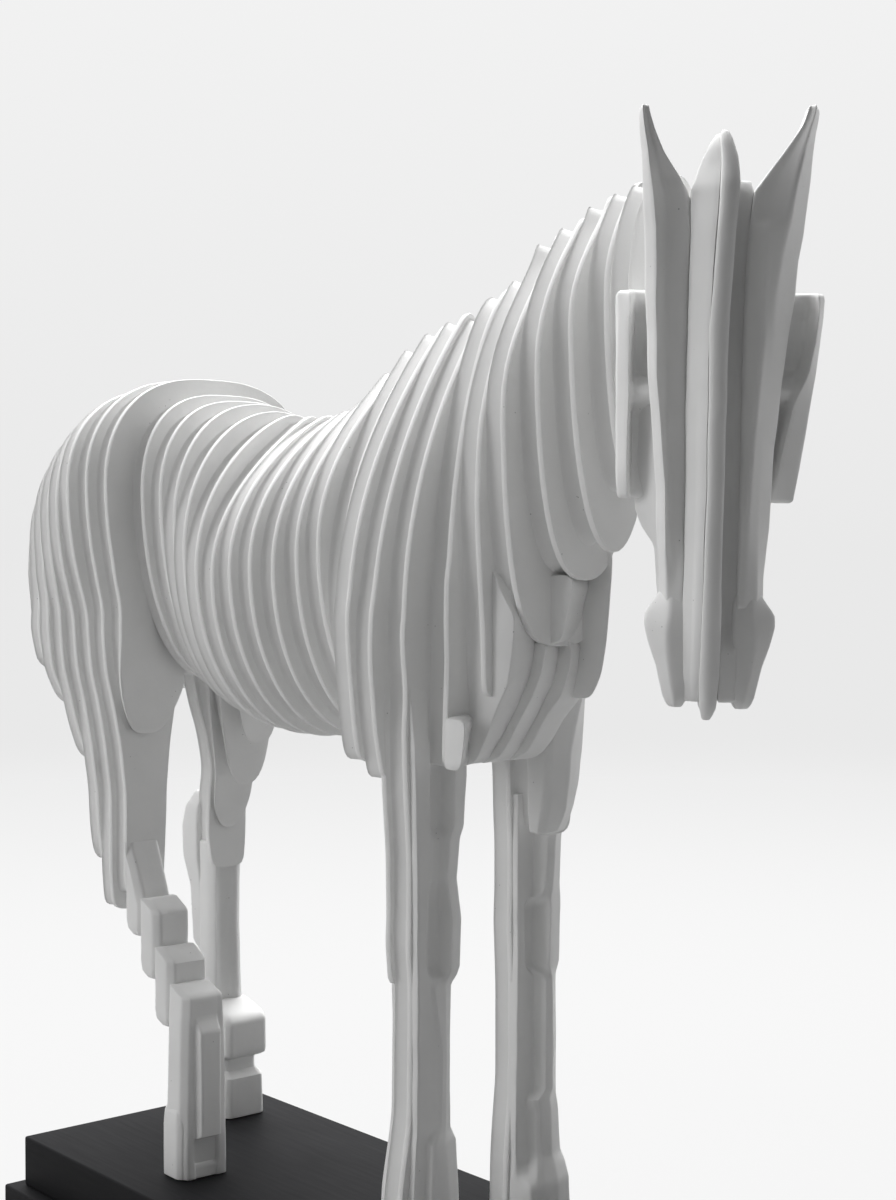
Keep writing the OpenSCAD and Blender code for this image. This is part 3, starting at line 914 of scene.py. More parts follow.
    def spans_of(self, index: int) -> dict[Side, LimbSpan | None]:
        """Limbs that a plate shows on each side."""
        spans: dict[Side, LimbSpan | None] = {side: None for side in Side}
        for reach in REACHES:
            if reach.first <= index <= reach.last:
                spans[reach.side] = LimbSpan(
                    reach.rows, reach.low, reach.high,
                    index - 0.5 if reach.place is None else reach.place,
                    TRUNK_SHARES[index].half if reach.capped else 1.0,
                    reach.blend_low, reach.taper, reach.soft)
        return spans

    def build_plate(self, node: str, index: int) -> bpy.types.Object:
        """Models one plate with its web, cove and rounded rim.

        Args:
            node: The CAD node that it stands for.
            index: Its number from the rump.

        Returns:
            The piece.
        """
        spans = self.spans_of(index)
        counts = {
            side: [
                max(3, round(path_length(path) / self.spacing))
                for path in self.side_paths(TRUNK_SHARES[index], spans[side], 0.0)
            ]
            for side in Side
        }
        for side in Side:
            if spans[side] is not None and len(counts[side]) == 1:
                spans[side] = None
        sway = SWAY_SHARES.get(index, 0.0) * self.body_w
        rear = plate_x(index - 1, MM)
        feet = {
            side: min(p.y for path in self.side_paths(TRUNK_SHARES[index], span, 0.0) for p in path)
            for side, span in spans.items()
        }
        rings = []
        for along, depth in RIM_SHARES:
            ring = self.ring(index, spans, depth * self.rim_depth, counts)
            row = []
            for p in ring:
                side = Side.LEFT if p.x > 0 else Side.RIGHT
                full = 1.0
                if spans[side] and spans[side].taper:
                    rise = (p.y - feet[side]) / (spans[side].taper * self.back_h)
                    full = min(1.0, self.foot_share + (1 - self.foot_share) * max(0.0, rise))
                x = rear + along * full * self.pitch
                row.append(Vector((x, p.x + sway, p.y + self.base_h)))
            rings.append(row)
        bm = bmesh.new()
        loft(bm, rings)
        if index == self.rim_plate:
            self.add_leg_rim(bm)
        return finish_piece(bm, f"{node}_plate", [node], self.finishes.plaster)

    def add_leg_rim(self, bm: bmesh.types.BMesh) -> None:
        """Adds the rim that shows behind the right foreleg's plate.

        Args:
            bm: The mesh of the plate behind it.
        """
        rear = plate_x(self.rim_plate - 1, MM)
        long, across = self.rim_steps
        for low, high, least, proud in self.rim_parts:
            span, rings = LimbSpan(FORE_RIGHT_SHARES, low, high, self.rim_place, 1.0), []
            for along, depth in RIM_SHARES[self.rim_start:]:
                depth = min(max(depth, least), self.rim_most)
                sides = self.limb_sides(span, depth * self.rim_depth)
                outer = [Vector((o, z)) for z, o, _ in sides]
                inner = [Vector((i, z)) for z, _, i in sides]
                ring = (
                    resample(outer, long)[:-1] + resample([outer[-1], inner[-1]], across)[:-1]
                    + resample(inner[::-1], long)[:-1] + resample([inner[0], outer[0]], across)[:-1]
                )
                x = rear + along * self.pitch + self.proud * proud
                rings.append([
                    Vector((x, -p.x, p.y + self.base_h)) for p in smooth_ring(ring, 2)
                ])
            loft(bm, rings)

    def build(self) -> list[bpy.types.Object]:
        """Models every plate.

        Returns:
            The pieces.
        """
        names = (
            [f"rump_{k}" for k in range(1, 6)] + [f"haunch_{k}" for k in range(1, 6)]
            + [f"flank_{k}" for k in range(1, 3)] + [f"barrel_{k}" for k in range(1, 10)]
            + [f"shoulder_{k}" for k in range(1, 5)] + [f"neck_{k}" for k in range(1, 9)]
        )
        return [self.build_plate(name, index) for index, name in enumerate(names)]


# --------------------------------------------------------------------------- the head


@dataclass(frozen=True)
class Section:
    """Corners of a head or leg piece at one height, all in millimetres: each corner is its
    place to the horse's left and its place forward. Heights are above the nose tip for the
    head, and above the plinth for the legs."""

    height: float
    corners: tuple[tuple[float, float], ...]

    def mirrored(self) -> "Section":
        """The same section on the other side of the head."""
        return Section(self.height, tuple((-l, f) for l, f in self.corners))


def sections(*rows: tuple) -> tuple[Section, ...]:
    """Makes sections from rows of numbers.

    Args:
        rows: For each, its height, how far forward its back lies, the places to the left of
            the first and the last corner, which lie on that back, and the corners between
            them. Where the back is slanted, it is given at both of its corners.

    Returns:
        The sections.
    """
    made = []
    for height, back, first, last, *corners in rows:
        near, far = back if isinstance(back, tuple) else (back, back)
        made.append(Section(height, ((first, near), *corners, (last, far))))
    return tuple(made)


def hollow(rows: tuple[Section, ...],
           *cuts: tuple[int, float, float, float, float]) -> tuple[Section, ...]:
    """Moves corners of a board between two heights, which deepens its channels.

    Args:
        rows: The board's sections.
        cuts: For each, the corner, counted round the section from the first one on its
            back, the lower and the upper end of the channel, and how far the corner goes
            back and outward, in millimetres.

    Returns:
        The changed sections.
    """
    out = []
    for row in rows:
        corners = list(row.corners)
        for corner, low, high, back, aside in cuts:
            if low <= row.height <= high:
                left, forward = corners[corner]
                corners[corner] = (left + math.copysign(aside, left), forward - back)
        out.append(Section(row.height, tuple(corners)))
    return tuple(out)


# Middle board: left edge, crown, right edge
RIDGE = sections(
    (0.6, 20, -1, 0.6, (-1.8, 23), (-0.9, 24.2), (0.4, 23.2)),
    (4, 8, -2.4, 2.2, (-2.6, 25.6), (-0.7, 27.2), (1.9, 25.8)),
    (12, 2, -2.8, 2.8, (-2.8, 27.2), (-0.5, 28.5), (2.3, 27.2)),
    (24, -5, -2.8, 2.8, (-2.8, 28.6), (-0.3, 29.6), (2.5, 28.3)),
    (34, -8, -2.8, 2.8, (-2.7, 29.4), (0, 30), (2.3, 28.9)),
    (50, -13, -2.8, 2.8, (-2.5, 29.8), (0, 30.3), (2.2, 29.2)),
    (65, -18, -2.8, 2.8, (-2.5, 30), (0, 30.6), (2.2, 29.5)),
    (85, -26, -2.8, 2.8, (-2.8, 30.2), (0, 30.9), (2.1, 29.9)),
    (105, -29, -2.8, 2.8, (-3, 30.4), (0, 31), (2.1, 29.9)),
    (122, -27.5, -2.8, 2.8, (-2.3, 29.6), (0.4, 30), (2.8, 28.9)),
    (134, -24, -2.8, 2.8, (-1.5, 27.8), (1, 28.4), (3.5, 27.2)),
    (147, -16, -2.8, 2.8, (-0.9, 24), (1.9, 24.6), (4.5, 23.2)),
    (155, -4, -2.4, 2.8, (-0.7, 19.6), (1.6, 20), (3.9, 18.8)),
    (160, 6, -1.6, 2.2, (-0.7, 16.6), (0.9, 17), (2.6, 16)),
    (163, 9, -0.9, 1.2, (-0.6, 13.6), (0.5, 14), (1.4, 13.4)),
)
# Sloping wall beside it: top edge, foot of the wall, the far side of a fine groove, outer edge
WALL = sections(
    (5.5, 14, -2.2, -6.6, (-2.6, 24.4), (-4.2, 24), (-4.8, 23.6), (-7.4, 22)),
    (12, 4, -2.4, -7.4, (-2.7, 26.4), (-4.4, 25.4), (-5, 24.6), (-7.6, 22.6)),
    (24, -4, -2.4, -7.4, (-2.7, 28), (-4.7, 26.2), (-5.1, 25), (-7.6, 21.6)),
    (38, -8, -2.4, -7.4, (-2.6, 28.8), (-4.8, 26.4), (-5.1, 24.6), (-7.6, 19.4)),
    (64, -17, -2.4, -7.4, (-2.5, 29.4), (-4.9, 26.4), (-5.1, 24.4), (-7.8, 18.2)),
    (86, -25, -2.4, -7.4, (-2.8, 29.6), (-5.2, 26.2), (-5.5, 24.4), (-8.4, 18)),
    (98, -27, -2.4, -7.4, (-2.9, 29.7), (-5.1, 26.6), (-6.1, 24.6), (-8.5, 18)),
    (122, -26, -2.4, -7.4, (-2.4, 29), (-4.6, 26.2), (-6, 24), (-8.5, 18)),
    (134, -22, -2.2, -7.4, (-1.6, 27.2), (-4.2, 24.8), (-5.8, 22.6), (-8.4, 18.2)),
    (146, -14, -1.8, -7.4, (-1, 23.2), (-3.8, 21.2), (-6, 19.4), (-8.8, 16.8)),
    (153, (-4, -2), -1.4, -6, (-0.8, 19), (-3, 17.4), (-4.6, 16), (-6.6, 14)),
    (159, (4, 5), -1, -3.6, (-0.7, 15.8), (-1.8, 15), (-2.8, 14), (-3.8, 12.6)),
    (162, 8, -0.7, -2, (-0.6, 13.4), (-1.1, 13), (-1.6, 12.4), (-2, 11.6)),
)
# Deep groove on the other side: inner edge, middle and outer edge of its floor
GROOVE = sections(
    (5.5, 14, 2.4, 6.6, (2.4, 24), (4.8, 23.6), (7.4, 22.6)),
    (12, 4, 2.4, 7.4, (2.4, 25), (4.8, 24), (7.4, 23.2)),
    (20, -2, 2.4, 7.4, (2.4, 24.2), (4.8, 22.8), (7.4, 22.4)),
    (25, -4, 2.4, 7.4, (2.4, 18.6), (4.8, 17.6), (7.4, 18.6)),
    (38, -8, 2.4, 7.4, (2.4, 16.6), (4.8, 15.8), (7.4, 16.6)),
    (64, -17, 2.4, 7.4, (2.4, 15.8), (4.8, 15.2), (7.4, 15.8)),
    (86, -25, 2.4, 7.4, (2.4, 15.6), (4.8, 15), (7.4, 15.6)),
    (105, -27.6, 2.4, 7.4, (2.4, 15.6), (4.8, 15), (7.4, 15.6)),
    (126, -26, 2.4, 7.4, (2.4, 15.6), (4.8, 15), (7.4, 15.6)),
    (139, -19, 2.4, 7.4, (2.4, 16), (4.8, 15.4), (8, 16)),
    (146, -12, 2.4, 7.4, (2.4, 15.4), (5.2, 14.6), (8.8, 15)),
    (149.5, -4, 2.8, 7.4, (2.8, 12.4), (5.4, 12), (8, 12)),
)
# Board with the right ear: foot, channel, lip, outer side
EAR_RIGHT = sections(
    (31, 1.4, -7, -13.6, (-7.6, 19.5), (-10, 19.2), (-12.2, 18), (-14.2, 12)),
    (40, 1.4, -7, -13.8, (-7.6, 18.6), (-10, 18), (-12.5, 18.4), (-14.3, 12.5)),
    (54, 1.4, -7, -14.8, (-7.6, 18), (-10.4, 17.4), (-13.2, 18.7), (-15.5, 12.5)),
    (64, 1.4, -7, -15.2, (-7.6, 17.8), (-10.6, 17.2), (-13.4, 18.9), (-15.9, 12.5)),
    (85, 1.4, -7, -17.2, (-8.2, 17.6), (-12, 16.8), (-15.6, 19.1), (-17.9, 12.5)),
    (94, 1.4, -7, -18.2, (-8.4, 17.6), (-12.2, 16.6), (-16.6, 19.3), (-19, 12.5)),
    (105, 1.4, -7, -19, (-8.5, 17.6), (-12.6, 16.6), (-17, 19.3), (-19.6, 12.5)),
    (120, 1.4, -7, -20, (-8.5, 17.6), (-13, 16.2), (-17.5, 19.1), (-20.5, 12.4)),
    (135, 1.4, -7, -20.5, (-8.3, 17.7), (-13, 15.8), (-18, 18.7), (-21.1, 12.2)),
    (145, 1.4, -7.4, -21.2, (-8.9, 17.2), (-13.6, 15.4), (-19, 18.3), (-21.8, 12)),
    (150, 1.8, -10.8, -21.5, (-11.6, 16.6), (-15.4, 15.2), (-19.8, 18), (-22.1, 11.8)),
    (157, 3, -15.6, -22, (-16.4, 15.8), (-18.4, 14.8), (-20.8, 17.2), (-22.5, 11.5)),
    (163, 5, -18.4, -22.8, (-19, 15), (-20.4, 14.4), (-22, 16.4), (-23.2, 11.2)),
    (167.5, 6.5, -20, -23.2, (-20.4, 14.4), (-21.2, 14), (-22.5, 15.4), (-23.4, 11)),
    (170, 7.5, -20.5, -23.1, (-20.8, 13.8), (-21.5, 13.6), (-22.5, 14.6), (-23.3, 11)),
)
# Board with the left ear: band start, band end, strip end, outer side
EAR_LEFT = sections(
    (31, 1.4, 7, 14.4, (7, 20.5), (9.2, 20), (12.6, 17.5), (15, 11)),
    (40, 1.4, 7, 14.2, (7, 20.2), (9.3, 20.2), (12.6, 16.6), (14.8, 10.5)),
    (54, 1.4, 7, 15, (7, 20.2), (9.4, 20.4), (12.4, 15.6), (15.3, 9.2)),
    (64, 1.4, 7, 15.2, (7, 20.4), (9.6, 20.6), (12.6, 15.6), (15.6, 9.2)),
    (76, 1.4, 7, 15.6, (7, 20.6), (10, 21), (13, 15.6), (16, 9.4)),
    (85, 1.4, 7, 16.2, (6.8, 21), (10.6, 21.5), (13.6, 16), (16.8, 9.6)),
    (95, 1.4, 7, 17, (6.7, 21.4), (11.4, 21.9), (14.2, 16.6), (17.6, 9.8)),
    (105, 1.4, 7, 18, (6.6, 21.6), (12, 22), (15, 17.2), (18.6, 10)),
    (118, 1.4, 7, 20.2, (6.8, 21.5), (11.4, 22), (15, 19), (20.6, 8)),
    (128, 1.4, 7, 21.8, (7.2, 21.3), (11.8, 21.8), (16.4, 19.2), (22.2, 7)),
    (135.5, 1.4, 7.2, 22.8, (7.6, 20.8), (12.4, 21.2), (18, 19), (23.4, 6.4)),
    (138.5, 1.6, 7.4, 23, (7.9, 18.2), (12.8, 18.2), (18.5, 18.8), (23.7, 6.2)),
    (146, 2, 7.8, 23.8, (8.8, 17), (13.6, 16.8), (19.6, 18.3), (24.3, 6)),
    (151, 2.6, 11.6, 24.3, (12.4, 16.4), (16, 16.2), (20.6, 17.8), (24.7, 6.1)),
    (158, 3.6, 16.8, 24.9, (17.4, 15.8), (19.4, 15.6), (22.2, 17), (25.2, 6.6)),
    (164, 5.2, 20.8, 25.6, (21.3, 14.8), (22.3, 14.7), (23.8, 15.7), (25.8, 7.4)),
    (168, 6.2, 22.3, 26.3, (22.7, 14.2), (23.6, 14), (25, 14.8), (26.4, 9)),
    (170, 7.2, 22.8, 26.2, (23.1, 13.6), (23.9, 13.5), (25, 14.2), (26.3, 9.4)),
)
# Muzzle beside the boards: inner front, crease, pad front, pad side
MUZZLE = sections(
    (3.6, (13, 12.6), 7.2, 9, (7.2, 20.4), (9.2, 21.4), (11, 19), (10.6, 15)),
    (6, 7, 6, 9, (6, 22.4), (9.6, 23.2), (12.4, 20), (12.2, 13)),
    (10, 4, 6, 9, (6, 23.2), (10.4, 23.2), (13.4, 19.5), (13.2, 11)),
    (15, 2, 6, 9.4, (6, 22.8), (11.2, 22.8), (14.6, 18.4), (14.2, 9)),
    (21, 1, 6, 10, (6, 21.8), (11.9, 22.4), (16.9, 16.4), (16, 7)),
    (26, 1, 6, 11, (6, 20.8), (11.7, 21.8), (18.3, 15), (17.2, 6)),
    (29.5, 1, 6, 11, (6, 20), (11, 20.8), (18.2, 14.2), (17, 6)),
    (32.5, 1, 6, 10, (6, 19.2), (11.2, 19.4), (16, 13.6), (15, 5.4)),
    (35.5, 3, 7, 10, (7, 18), (11, 17.8), (14, 12.4), (13.4, 5)),
)
# Jaw boards: inner front, outer front, step, lump
JAW_LEFT = sections(
    (33, -1, 7, 12, (7, 3), (13.4, 3), (14.2, 1), (14.2, 0)),
    (36, -4, 7, 12, (7, 3), (13.8, 3), (14.4, 0), (14.4, -2)),
    (48, -8.4, 7, 12, (7, 3), (14.2, 3), (14.8, -1), (14.8, -4.4)),
    (66, -15.6, 7, 12, (7, 3), (14.4, 3), (15.2, -1), (15.2, -10.6)),
    (86, -24, 7, 12, (7, 3), (14.4, 3), (15.4, -1), (15.4, -18)),
    (105, -26.4, 7, 12, (7, 3), (14.4, 3), (15.4, -1), (15.4, -20)),
    (122, -25.4, 7, 12, (7, 3), (14.4, 3), (15.2, -1), (15.2, -19)),
    (134, -19, 7, 12, (7, 3), (14.2, 3), (14.8, -1), (14.8, -13)),
    (141, -7, 7, 12, (7, 2), (13.4, 2), (14, -1), (14, -4)),
)
JAW_RIGHT = sections(
    (33, -1, -7, -12, (-7, 3), (-13.4, 3), (-14.2, 1), (-14.2, 0)),
    (36, -4, -7, -12, (-7, 3), (-13.8, 3), (-14.4, 0), (-14.4, -2)),
    (48, -8.4, -7, -12, (-7, 3), (-14.2, 3), (-15.2, -2), (-15.4, -5)),
    (54, -11, -7, -13, (-7, 3), (-14.6, 3), (-17, -4), (-19.6, -9)),
    (59, (-13, -14), -7, -16, (-7, 3), (-15, 3), (-18, -3), (-21.6, -8)),
    (70, -17, -7, -18, (-7, 3), (-15.2, 3), (-18.2, -3), (-21.8, -9)),
    (86, -24, -7, -18, (-7, 3), (-15.2, 3), (-18.2, -3), (-21.8, -10)),
    (105, -26.4, -7, -16, (-7, 3), (-15.2, 3), (-18.2, -3), (-21.8, -10)),
    (122, -25.4, -7, -14, (-7, 3), (-15.2, 3), (-17.2, -3), (-19, -10)),
    (134, -19, -7, -12, (-7, 3), (-14.2, 3), (-14.8, -1), (-14.8, -13)),
    (141, -7, -7, -12, (-7, 2), (-13.4, 2), (-14, -1), (-14, -4)),
)
# Cheek pads: inner front, recess start, recess end, rim, front edge, outer face
CHEEK_RIGHT = sections(
    (61.6, (-18, -17), -14, -26.4, (-14, -1), (-18, -2), (-22.6, -3), (-23.2, -2), (-23.9, -1),
     (-26.4, -6.5)),
    (67, (-18, -17), -14, -27, (-14, 1), (-17.6, -1.5), (-22.8, -4), (-23.4, -1.5),
     (-24.1, -0.2), (-26.9, -6.2)),
    (72, (-18, -17), -14, -27.3, (-14, 1), (-17.6, -2), (-22.9, -6), (-23.5, -1.2),
     (-24.2, 0.3), (-27.1, -6)),
    (87, (-18, -17), -14, -27.7, (-14, 1), (-18, -2), (-22.9, -6.4), (-23.5, -1), (-24.2, 0.5),
     (-27.4, -6)),
    (90, (-18, -17), -14, -27.8, (-14, 1), (-18.4, 0.8), (-22, -0.8), (-23.3, -0.4),
     (-24.2, 0.6), (-27.5, -6)),
    (93.5, (-18, -17), -14, -27.9, (-14, 1), (-18.8, 0.6), (-22.4, -1.6), (-23.4, -0.6),
     (-24.2, 0.6), (-27.5, -6)),
    (97, (-18, -17), -14, -28, (-14, 1), (-19, -2), (-22.9, -6.4), (-23.5, -1), (-24.3, 0.6),
     (-27.6, -6)),
    (114, (-18, -17), -14, -28.4, (-14, 1), (-19, -2), (-22.9, -6), (-23.6, -1), (-24.4, 0.6),
     (-27.9, -6)),
    (118, (-18, -17), -14, -28.5, (-14, 1), (-19.4, -1), (-22.8, -2.4), (-23.6, -1),
     (-24.4, 0.4), (-28, -6.2)),
    (121.2, (-18, -17), -14, -28.5, (-14, 0), (-19.4, -0.6), (-22.8, -1.2), (-23.8, -1),
     (-24.6, -0.4), (-28, -6.4)),
)
CHEEK_LEFT = sections(
    (61.2, (-18, -17), 14, 23.8, (14, -1), (15, -2), (16.2, -3), (16.8, -2.4), (17.6, -1.4),
     (24, -8)),
    (67, (-18, -17), 14, 24.8, (14, 0), (15.2, -2), (16.6, -4), (17.4, -2), (18.4, -0.6), (25, -8)),
    (77, (-18, -17), 14, 26.4, (14, 1), (16, -2.5), (18, -5.5), (19.2, -1.8), (20.2, -0.2),
     (26.6, -8)),
    (88, (-18, -17), 14, 27.9, (14, 1), (17.5, -2.5), (20, -6), (21.4, -1.6), (22.4, 0),
     (28.1, -8)),
    (91, (-18, -17), 14, 28.2, (14, 1), (18, 0.4), (21, -1), (22.6, -0.8), (23.6, 0.2), (28.5, -8)),
    (94.5, (-18, -17), 14, 28.6, (14, 1), (18.4, 0.4), (22.2, -1.4), (24.2, -0.8), (25.2, 0.3),
     (28.9, -8)),
    (98, (-18, -17), 14, 29, (14, 1), (18.6, -2.5), (23.8, -6.4), (25.8, -1.4), (26.6, 0.3),
     (29.3, -8)),
    (106, (-18, -17), 14, 29.8, (14, 1), (19, -2.5), (25.4, -6.4), (27.4, -1.6), (28.2, 0),
     (30.2, -8)),
    (115, (-18, -17), 14, 30.6, (14, 1), (19.5, -2.5), (26.2, -6.2), (28.2, -1.8), (29.1, -0.2),
     (31, -8)),
    (119.4, (-18, -17), 14, 30.8, (14, 0), (19.6, -1.5), (26.2, -2.6), (28.2, -2), (29.2, -0.8),
     (31.2, -8)),
    (121, (-18, -17), 14, 30.6, (14, -1), (19.6, -2), (26.2, -2.4), (28.2, -2.4), (29, -1.6),
     (31, -8)),
)


@dataclass(frozen=True)
class Lofter:
    """Runs a skin over sections, with soft corners and a slightly wavering surface."""

    step: float = 1.6
    spacing: float = 1.25
    smooth_passes: int = 2
    wobble: float = 0.20 * MM
    wobble_scale: float = 95.0
    end_round: float = 1.1
    end_levels: tuple[float, float] = (0.25, 0.8)
    end_depth: float = 0.45
    most_round: float = 0.6
    mix: float = 0.8

    def corners_at(self, rows: tuple[Section, ...], height: float) -> list[Vector]:
        """Corners of a piece at a height, mixed from the sections around it.

        Args:
            rows: Its sections.
            height: Height in millimetres.

        Returns:
            The corners, in millimetres.
        """
        for a, b in zip(rows, rows[1:]):
            if height <= b.height or b is rows[-1]:
                f = min(1.0, max(0.0, (height - a.height) / (b.height - a.height)))
                return [Vector(p).lerp(Vector(q), f) for p, q in zip(a.corners, b.corners)]
        return []

    def add(self, bm: bmesh.types.BMesh, rows: tuple[Section, ...],
            place: Callable[[float, float, float], Vector], side_radius: float = 0.0) -> None:
        """Adds one solid that follows sections from the lowest to the highest.

        Args:
            bm: The mesh that gets it.
            rows: Its sections.
            place: Takes (first, second, height) in millimetres to the part's frame.
            side_radius: Radius of the ends, seen along the first axis, in millimetres.
        """
        low, high = rows[0].height, rows[-1].height
        count = len(rows[0].corners)
        counts = [
            max(2, round(max(
                math.dist(row.corners[k], row.corners[(k + 1) % count]) for row in rows
            ) / self.spacing))
            for k in range(count)
        ]
        steps = max(4, round((high - low) / self.step))
        first, second = self.end_levels
        levels = {low, low + first, low + second, high - second, high - first, high}
        levels |= {low + (high - low) * k / steps for k in range(1, steps)}
        rings = []
        for level in sorted(round(v, 3) for v in levels):
            near = min(level - low, high - level)
            soft = max(0.0, self.end_round - near) ** 2 / self.end_round
            around = [self.corners_at(rows, level + d) for d in (-self.mix, 0.0, self.mix)]
            corners = [(a + b * 2 + c) / 4 for a, b, c in zip(*around)]
            ring: list[Vector] = []
            for k in range(count):
                ring += resample([corners[k], corners[(k + 1) % count]], counts[k])[:-1]
            ring = smooth_ring(ring, self.smooth_passes)
            middle = sum(ring, Vector((0.0, 0.0))) / len(ring)
            if side_radius and near < side_radius:
                share = math.sqrt(max(0.0, 1 - ((side_radius - near) / side_radius) ** 2))
                deep = self.end_depth + (1 - self.end_depth) * share
                ring = [Vector((p.x, middle.y + (p.y - middle.y) * deep)) for p in ring]
            if soft:
                ring = [
                    p + (middle - p).normalized()
                    * min(soft, (middle - p).length * self.most_round)
                    for p in ring
                ]
            rings.append([place(p.x, p.y, level) for p in ring])
        for point in (point for ring in rings for point in ring):
            point += noise.noise_vector(point * self.wobble_scale) * self.wobble
        loft(bm, rings)


@dataclass
class Head:
    """Head of upright boards, turned to the horse's right and leaning a little."""

    finishes: Finishes
    poll_x: float = 206.1 * MM
    poll_y: float = -13.0 * MM
    nose_z: float = 226.4 * MM
    length: float = 170 * MM
    turn_deg: float = 45.0
    lean_deg: float = 1.5
    cheek_radius: float = 9.6
    sharp_deg: float = 60.0
    lofter: Lofter = Lofter(smooth_passes=1, end_round=0.7)

    def place(self, left: float, forward: float, up: float) -> Vector:
        """Takes a place on the head to the part's frame.

        Args:
            left: Towards the horse's left ear, in millimetres.
            forward: Towards the forehead, in millimetres.
            up: Above the nose tip, in millimetres.

        Returns:
            The place in the part's frame.
        """
        lean, turn = math.radians(self.lean_deg), math.radians(self.turn_deg)
        left, forward = left * MM, forward * MM
        high = up * MM - self.length / 2
        across = left * math.cos(lean) + high * math.sin(lean)
        rise = high * math.cos(lean) - left * math.sin(lean)
        return Vector((
            self.poll_x + forward * math.cos(turn) + across * math.sin(turn),
            self.poll_y - forward * math.sin(turn) + across * math.cos(turn),
            self.nose_z + self.length / 2 + rise,
        ))

    def build_piece(self, node: str, *solids: tuple[Section, ...],
                    end_radius: float = 0.0) -> bpy.types.Object:
        """Models one head piece.

        Args:
            node: The CAD node that it stands for.
            solids: Sections of each of its solids.
            end_radius: Radius of the solids' ends in side view, in millimetres.

        Returns:
            The piece.
        """
        bm = bmesh.new()
        for rows in solids:
            self.lofter.add(bm, rows, self.place, end_radius)
        return cast_piece(bm, node, self.finishes, self.sharp_deg)

    def build(self) -> list[bpy.types.Object]:
        """Models every head piece.

        Returns:
            The pieces.
        """
        ear_right = hollow(EAR_RIGHT, (1, 54, 150, 2.6, 0.0), (2, 54, 150, 2.6, 1.6))
        ear_left = hollow(EAR_LEFT, (1, 64, 136, 2.0, 0.0), (4, 54, 120, 2.2, -1.0))
        cheeks = [
            hollow(rows, (2, 66, 88, 4.5, 0.0), (3, 66, 88, 2.5, 0.0), (2, 96, 115, 4.5, 0.0),
                   (3, 96, 115, 2.5, 0.0))
            for rows in (CHEEK_RIGHT, CHEEK_LEFT)
        ]
        muzzle_right = tuple(row.mirrored() for row in MUZZLE)
        return [
            self.build_piece("head_ridge", RIDGE),
            self.build_piece("face_right", WALL),
            self.build_piece("face_left", GROOVE),
            self.build_piece("ear_right", ear_right),
            self.build_piece("ear_left", ear_left),
            self.build_piece("jaw_right", JAW_RIGHT),
            self.build_piece("jaw_left", JAW_LEFT),
            self.build_piece("cheek_right", cheeks[0], end_radius=self.cheek_radius),
            self.build_piece("cheek_left", cheeks[1], end_radius=self.cheek_radius),
            self.build_piece("nostrils", MUZZLE, muzzle_right),
        ]


# --------------------------------------------------------------------------- the legs

# Leg boards: heights are above the plinth, and forward is in front of the plate behind the
# board. Boards of the forelegs: near front edge, end of the flat face, groove, edge of the
# pad, crown of the pad, its far side
SHIN_RIGHT = sections(
    (0.3, -2, -37, -17.5, (-37, 0.3), (-31.4, 0.6), (-31, 3.2), (-29.8, 3.8), (-24, 4),
     (-18.4, 2.6)),
    (30, -2, -36, -17.8, (-36, 0.3), (-31.4, 0.5), (-31, 3), (-29.8, 3.6), (-24, 3.7),
     (-18.6, 2.2)),
    (47, -2, -35, -18.4, (-35, 0.3), (-30.8, 0.5), (-30.2, 2.7), (-29.2, 3.2), (-25, 3.3),
     (-19, 1.6)),
    (51, -2, -34.6, -19.4, (-34.5, 0.2), (-29, 0.6), (-27, 0.8), (-25, 1), (-23, 0.9), (-20, -0.4)),
    (76, -2, -34.4, -19.4, (-34.3, 0.2), (-29, 0.6), (-26.4, 0.9), (-24.2, 1.2), (-22.4, 0.9),
     (-19.8, -0.6)),
    (89, -2, -34.4, -19.2, (-34.3, 0.2), (-29.6, 0.5), (-28, 0.6), (-26.4, 1.4), (-22.8, 0.9),
     (-19.6, -0.6)),
    (98, -2, -34.4, -19, (-34.3, 0.2), (-30, 0.4), (-29, 0.4), (-28, 1.2), (-23, 1), (-19.6, -0.4)),
    (101, -2, -34.4, -18.4, (-34.3, 0.3), (-30, 0.8), (-28.8, 0.9), (-24.4, 1.2), (-23, 2.4),
     (-18.8, 1.6)),
    (104, -2, -34.4, -18, (-34.3, 0.2), (-30.2, 0.4), (-28.8, -2), (-24.2, -1.8), (-23.2, 3.4),
     (-18.2, 2.6)),
    (120, -2, -34.4, -17.6, (-34.3, 0.2), (-30.2, 0.4), (-28.8, -2.2), (-23.8, -2),
     (-22.8, 3.8), (-17.8, 2.8)),
    (129, -2, -34.4, -18, (-34.3, 0.2), (-29.4, 0.4), (-28.6, -1.6), (-24.2, -1.4),
     (-23.4, 3.2), (-18.4, 2)),
    (133, -2, -34.4, -18.2, (-34.3, 0.2), (-28.8, 0.4), (-28.2, 0.4), (-25.2, 0.4), (-24, 2.6),
     (-18.8, 1.6)),
    (146, -2, -34.6, -17.2, (-34.5, 0.2), (-28.4, 0.4), (-27.8, 0.2), (-24.4, 0.2),
     (-23.2, 3.2), (-17.8, 2.2)),
    (150, -2, -34.8, -16.4, (-34.7, 0.2), (-29, 0.4), (-27.8, -2.2), (-23, -2), (-22.2, 3.8),
     (-16.8, 3)),
    (166, -2, -35.2, -15.6, (-35.1, 0.2), (-29, 0.4), (-27.8, -2.4), (-22.4, -2.2),
     (-21.6, 4.2), (-16, 3.4)),
    (176, -2, -35.6, -15.6, (-35.5, 0.2), (-29, 0.4), (-27.8, -2.4), (-22.4, -2.2),
     (-21.6, 4.4), (-16, 3.6)),
    (196, -2.6, -35.6, -15.6, (-35.5, -2.2), (-29, -2.2), (-27.8, -2.5), (-22.4, -2.4),
     (-21.6, -2.2), (-16, -2.2)),
)
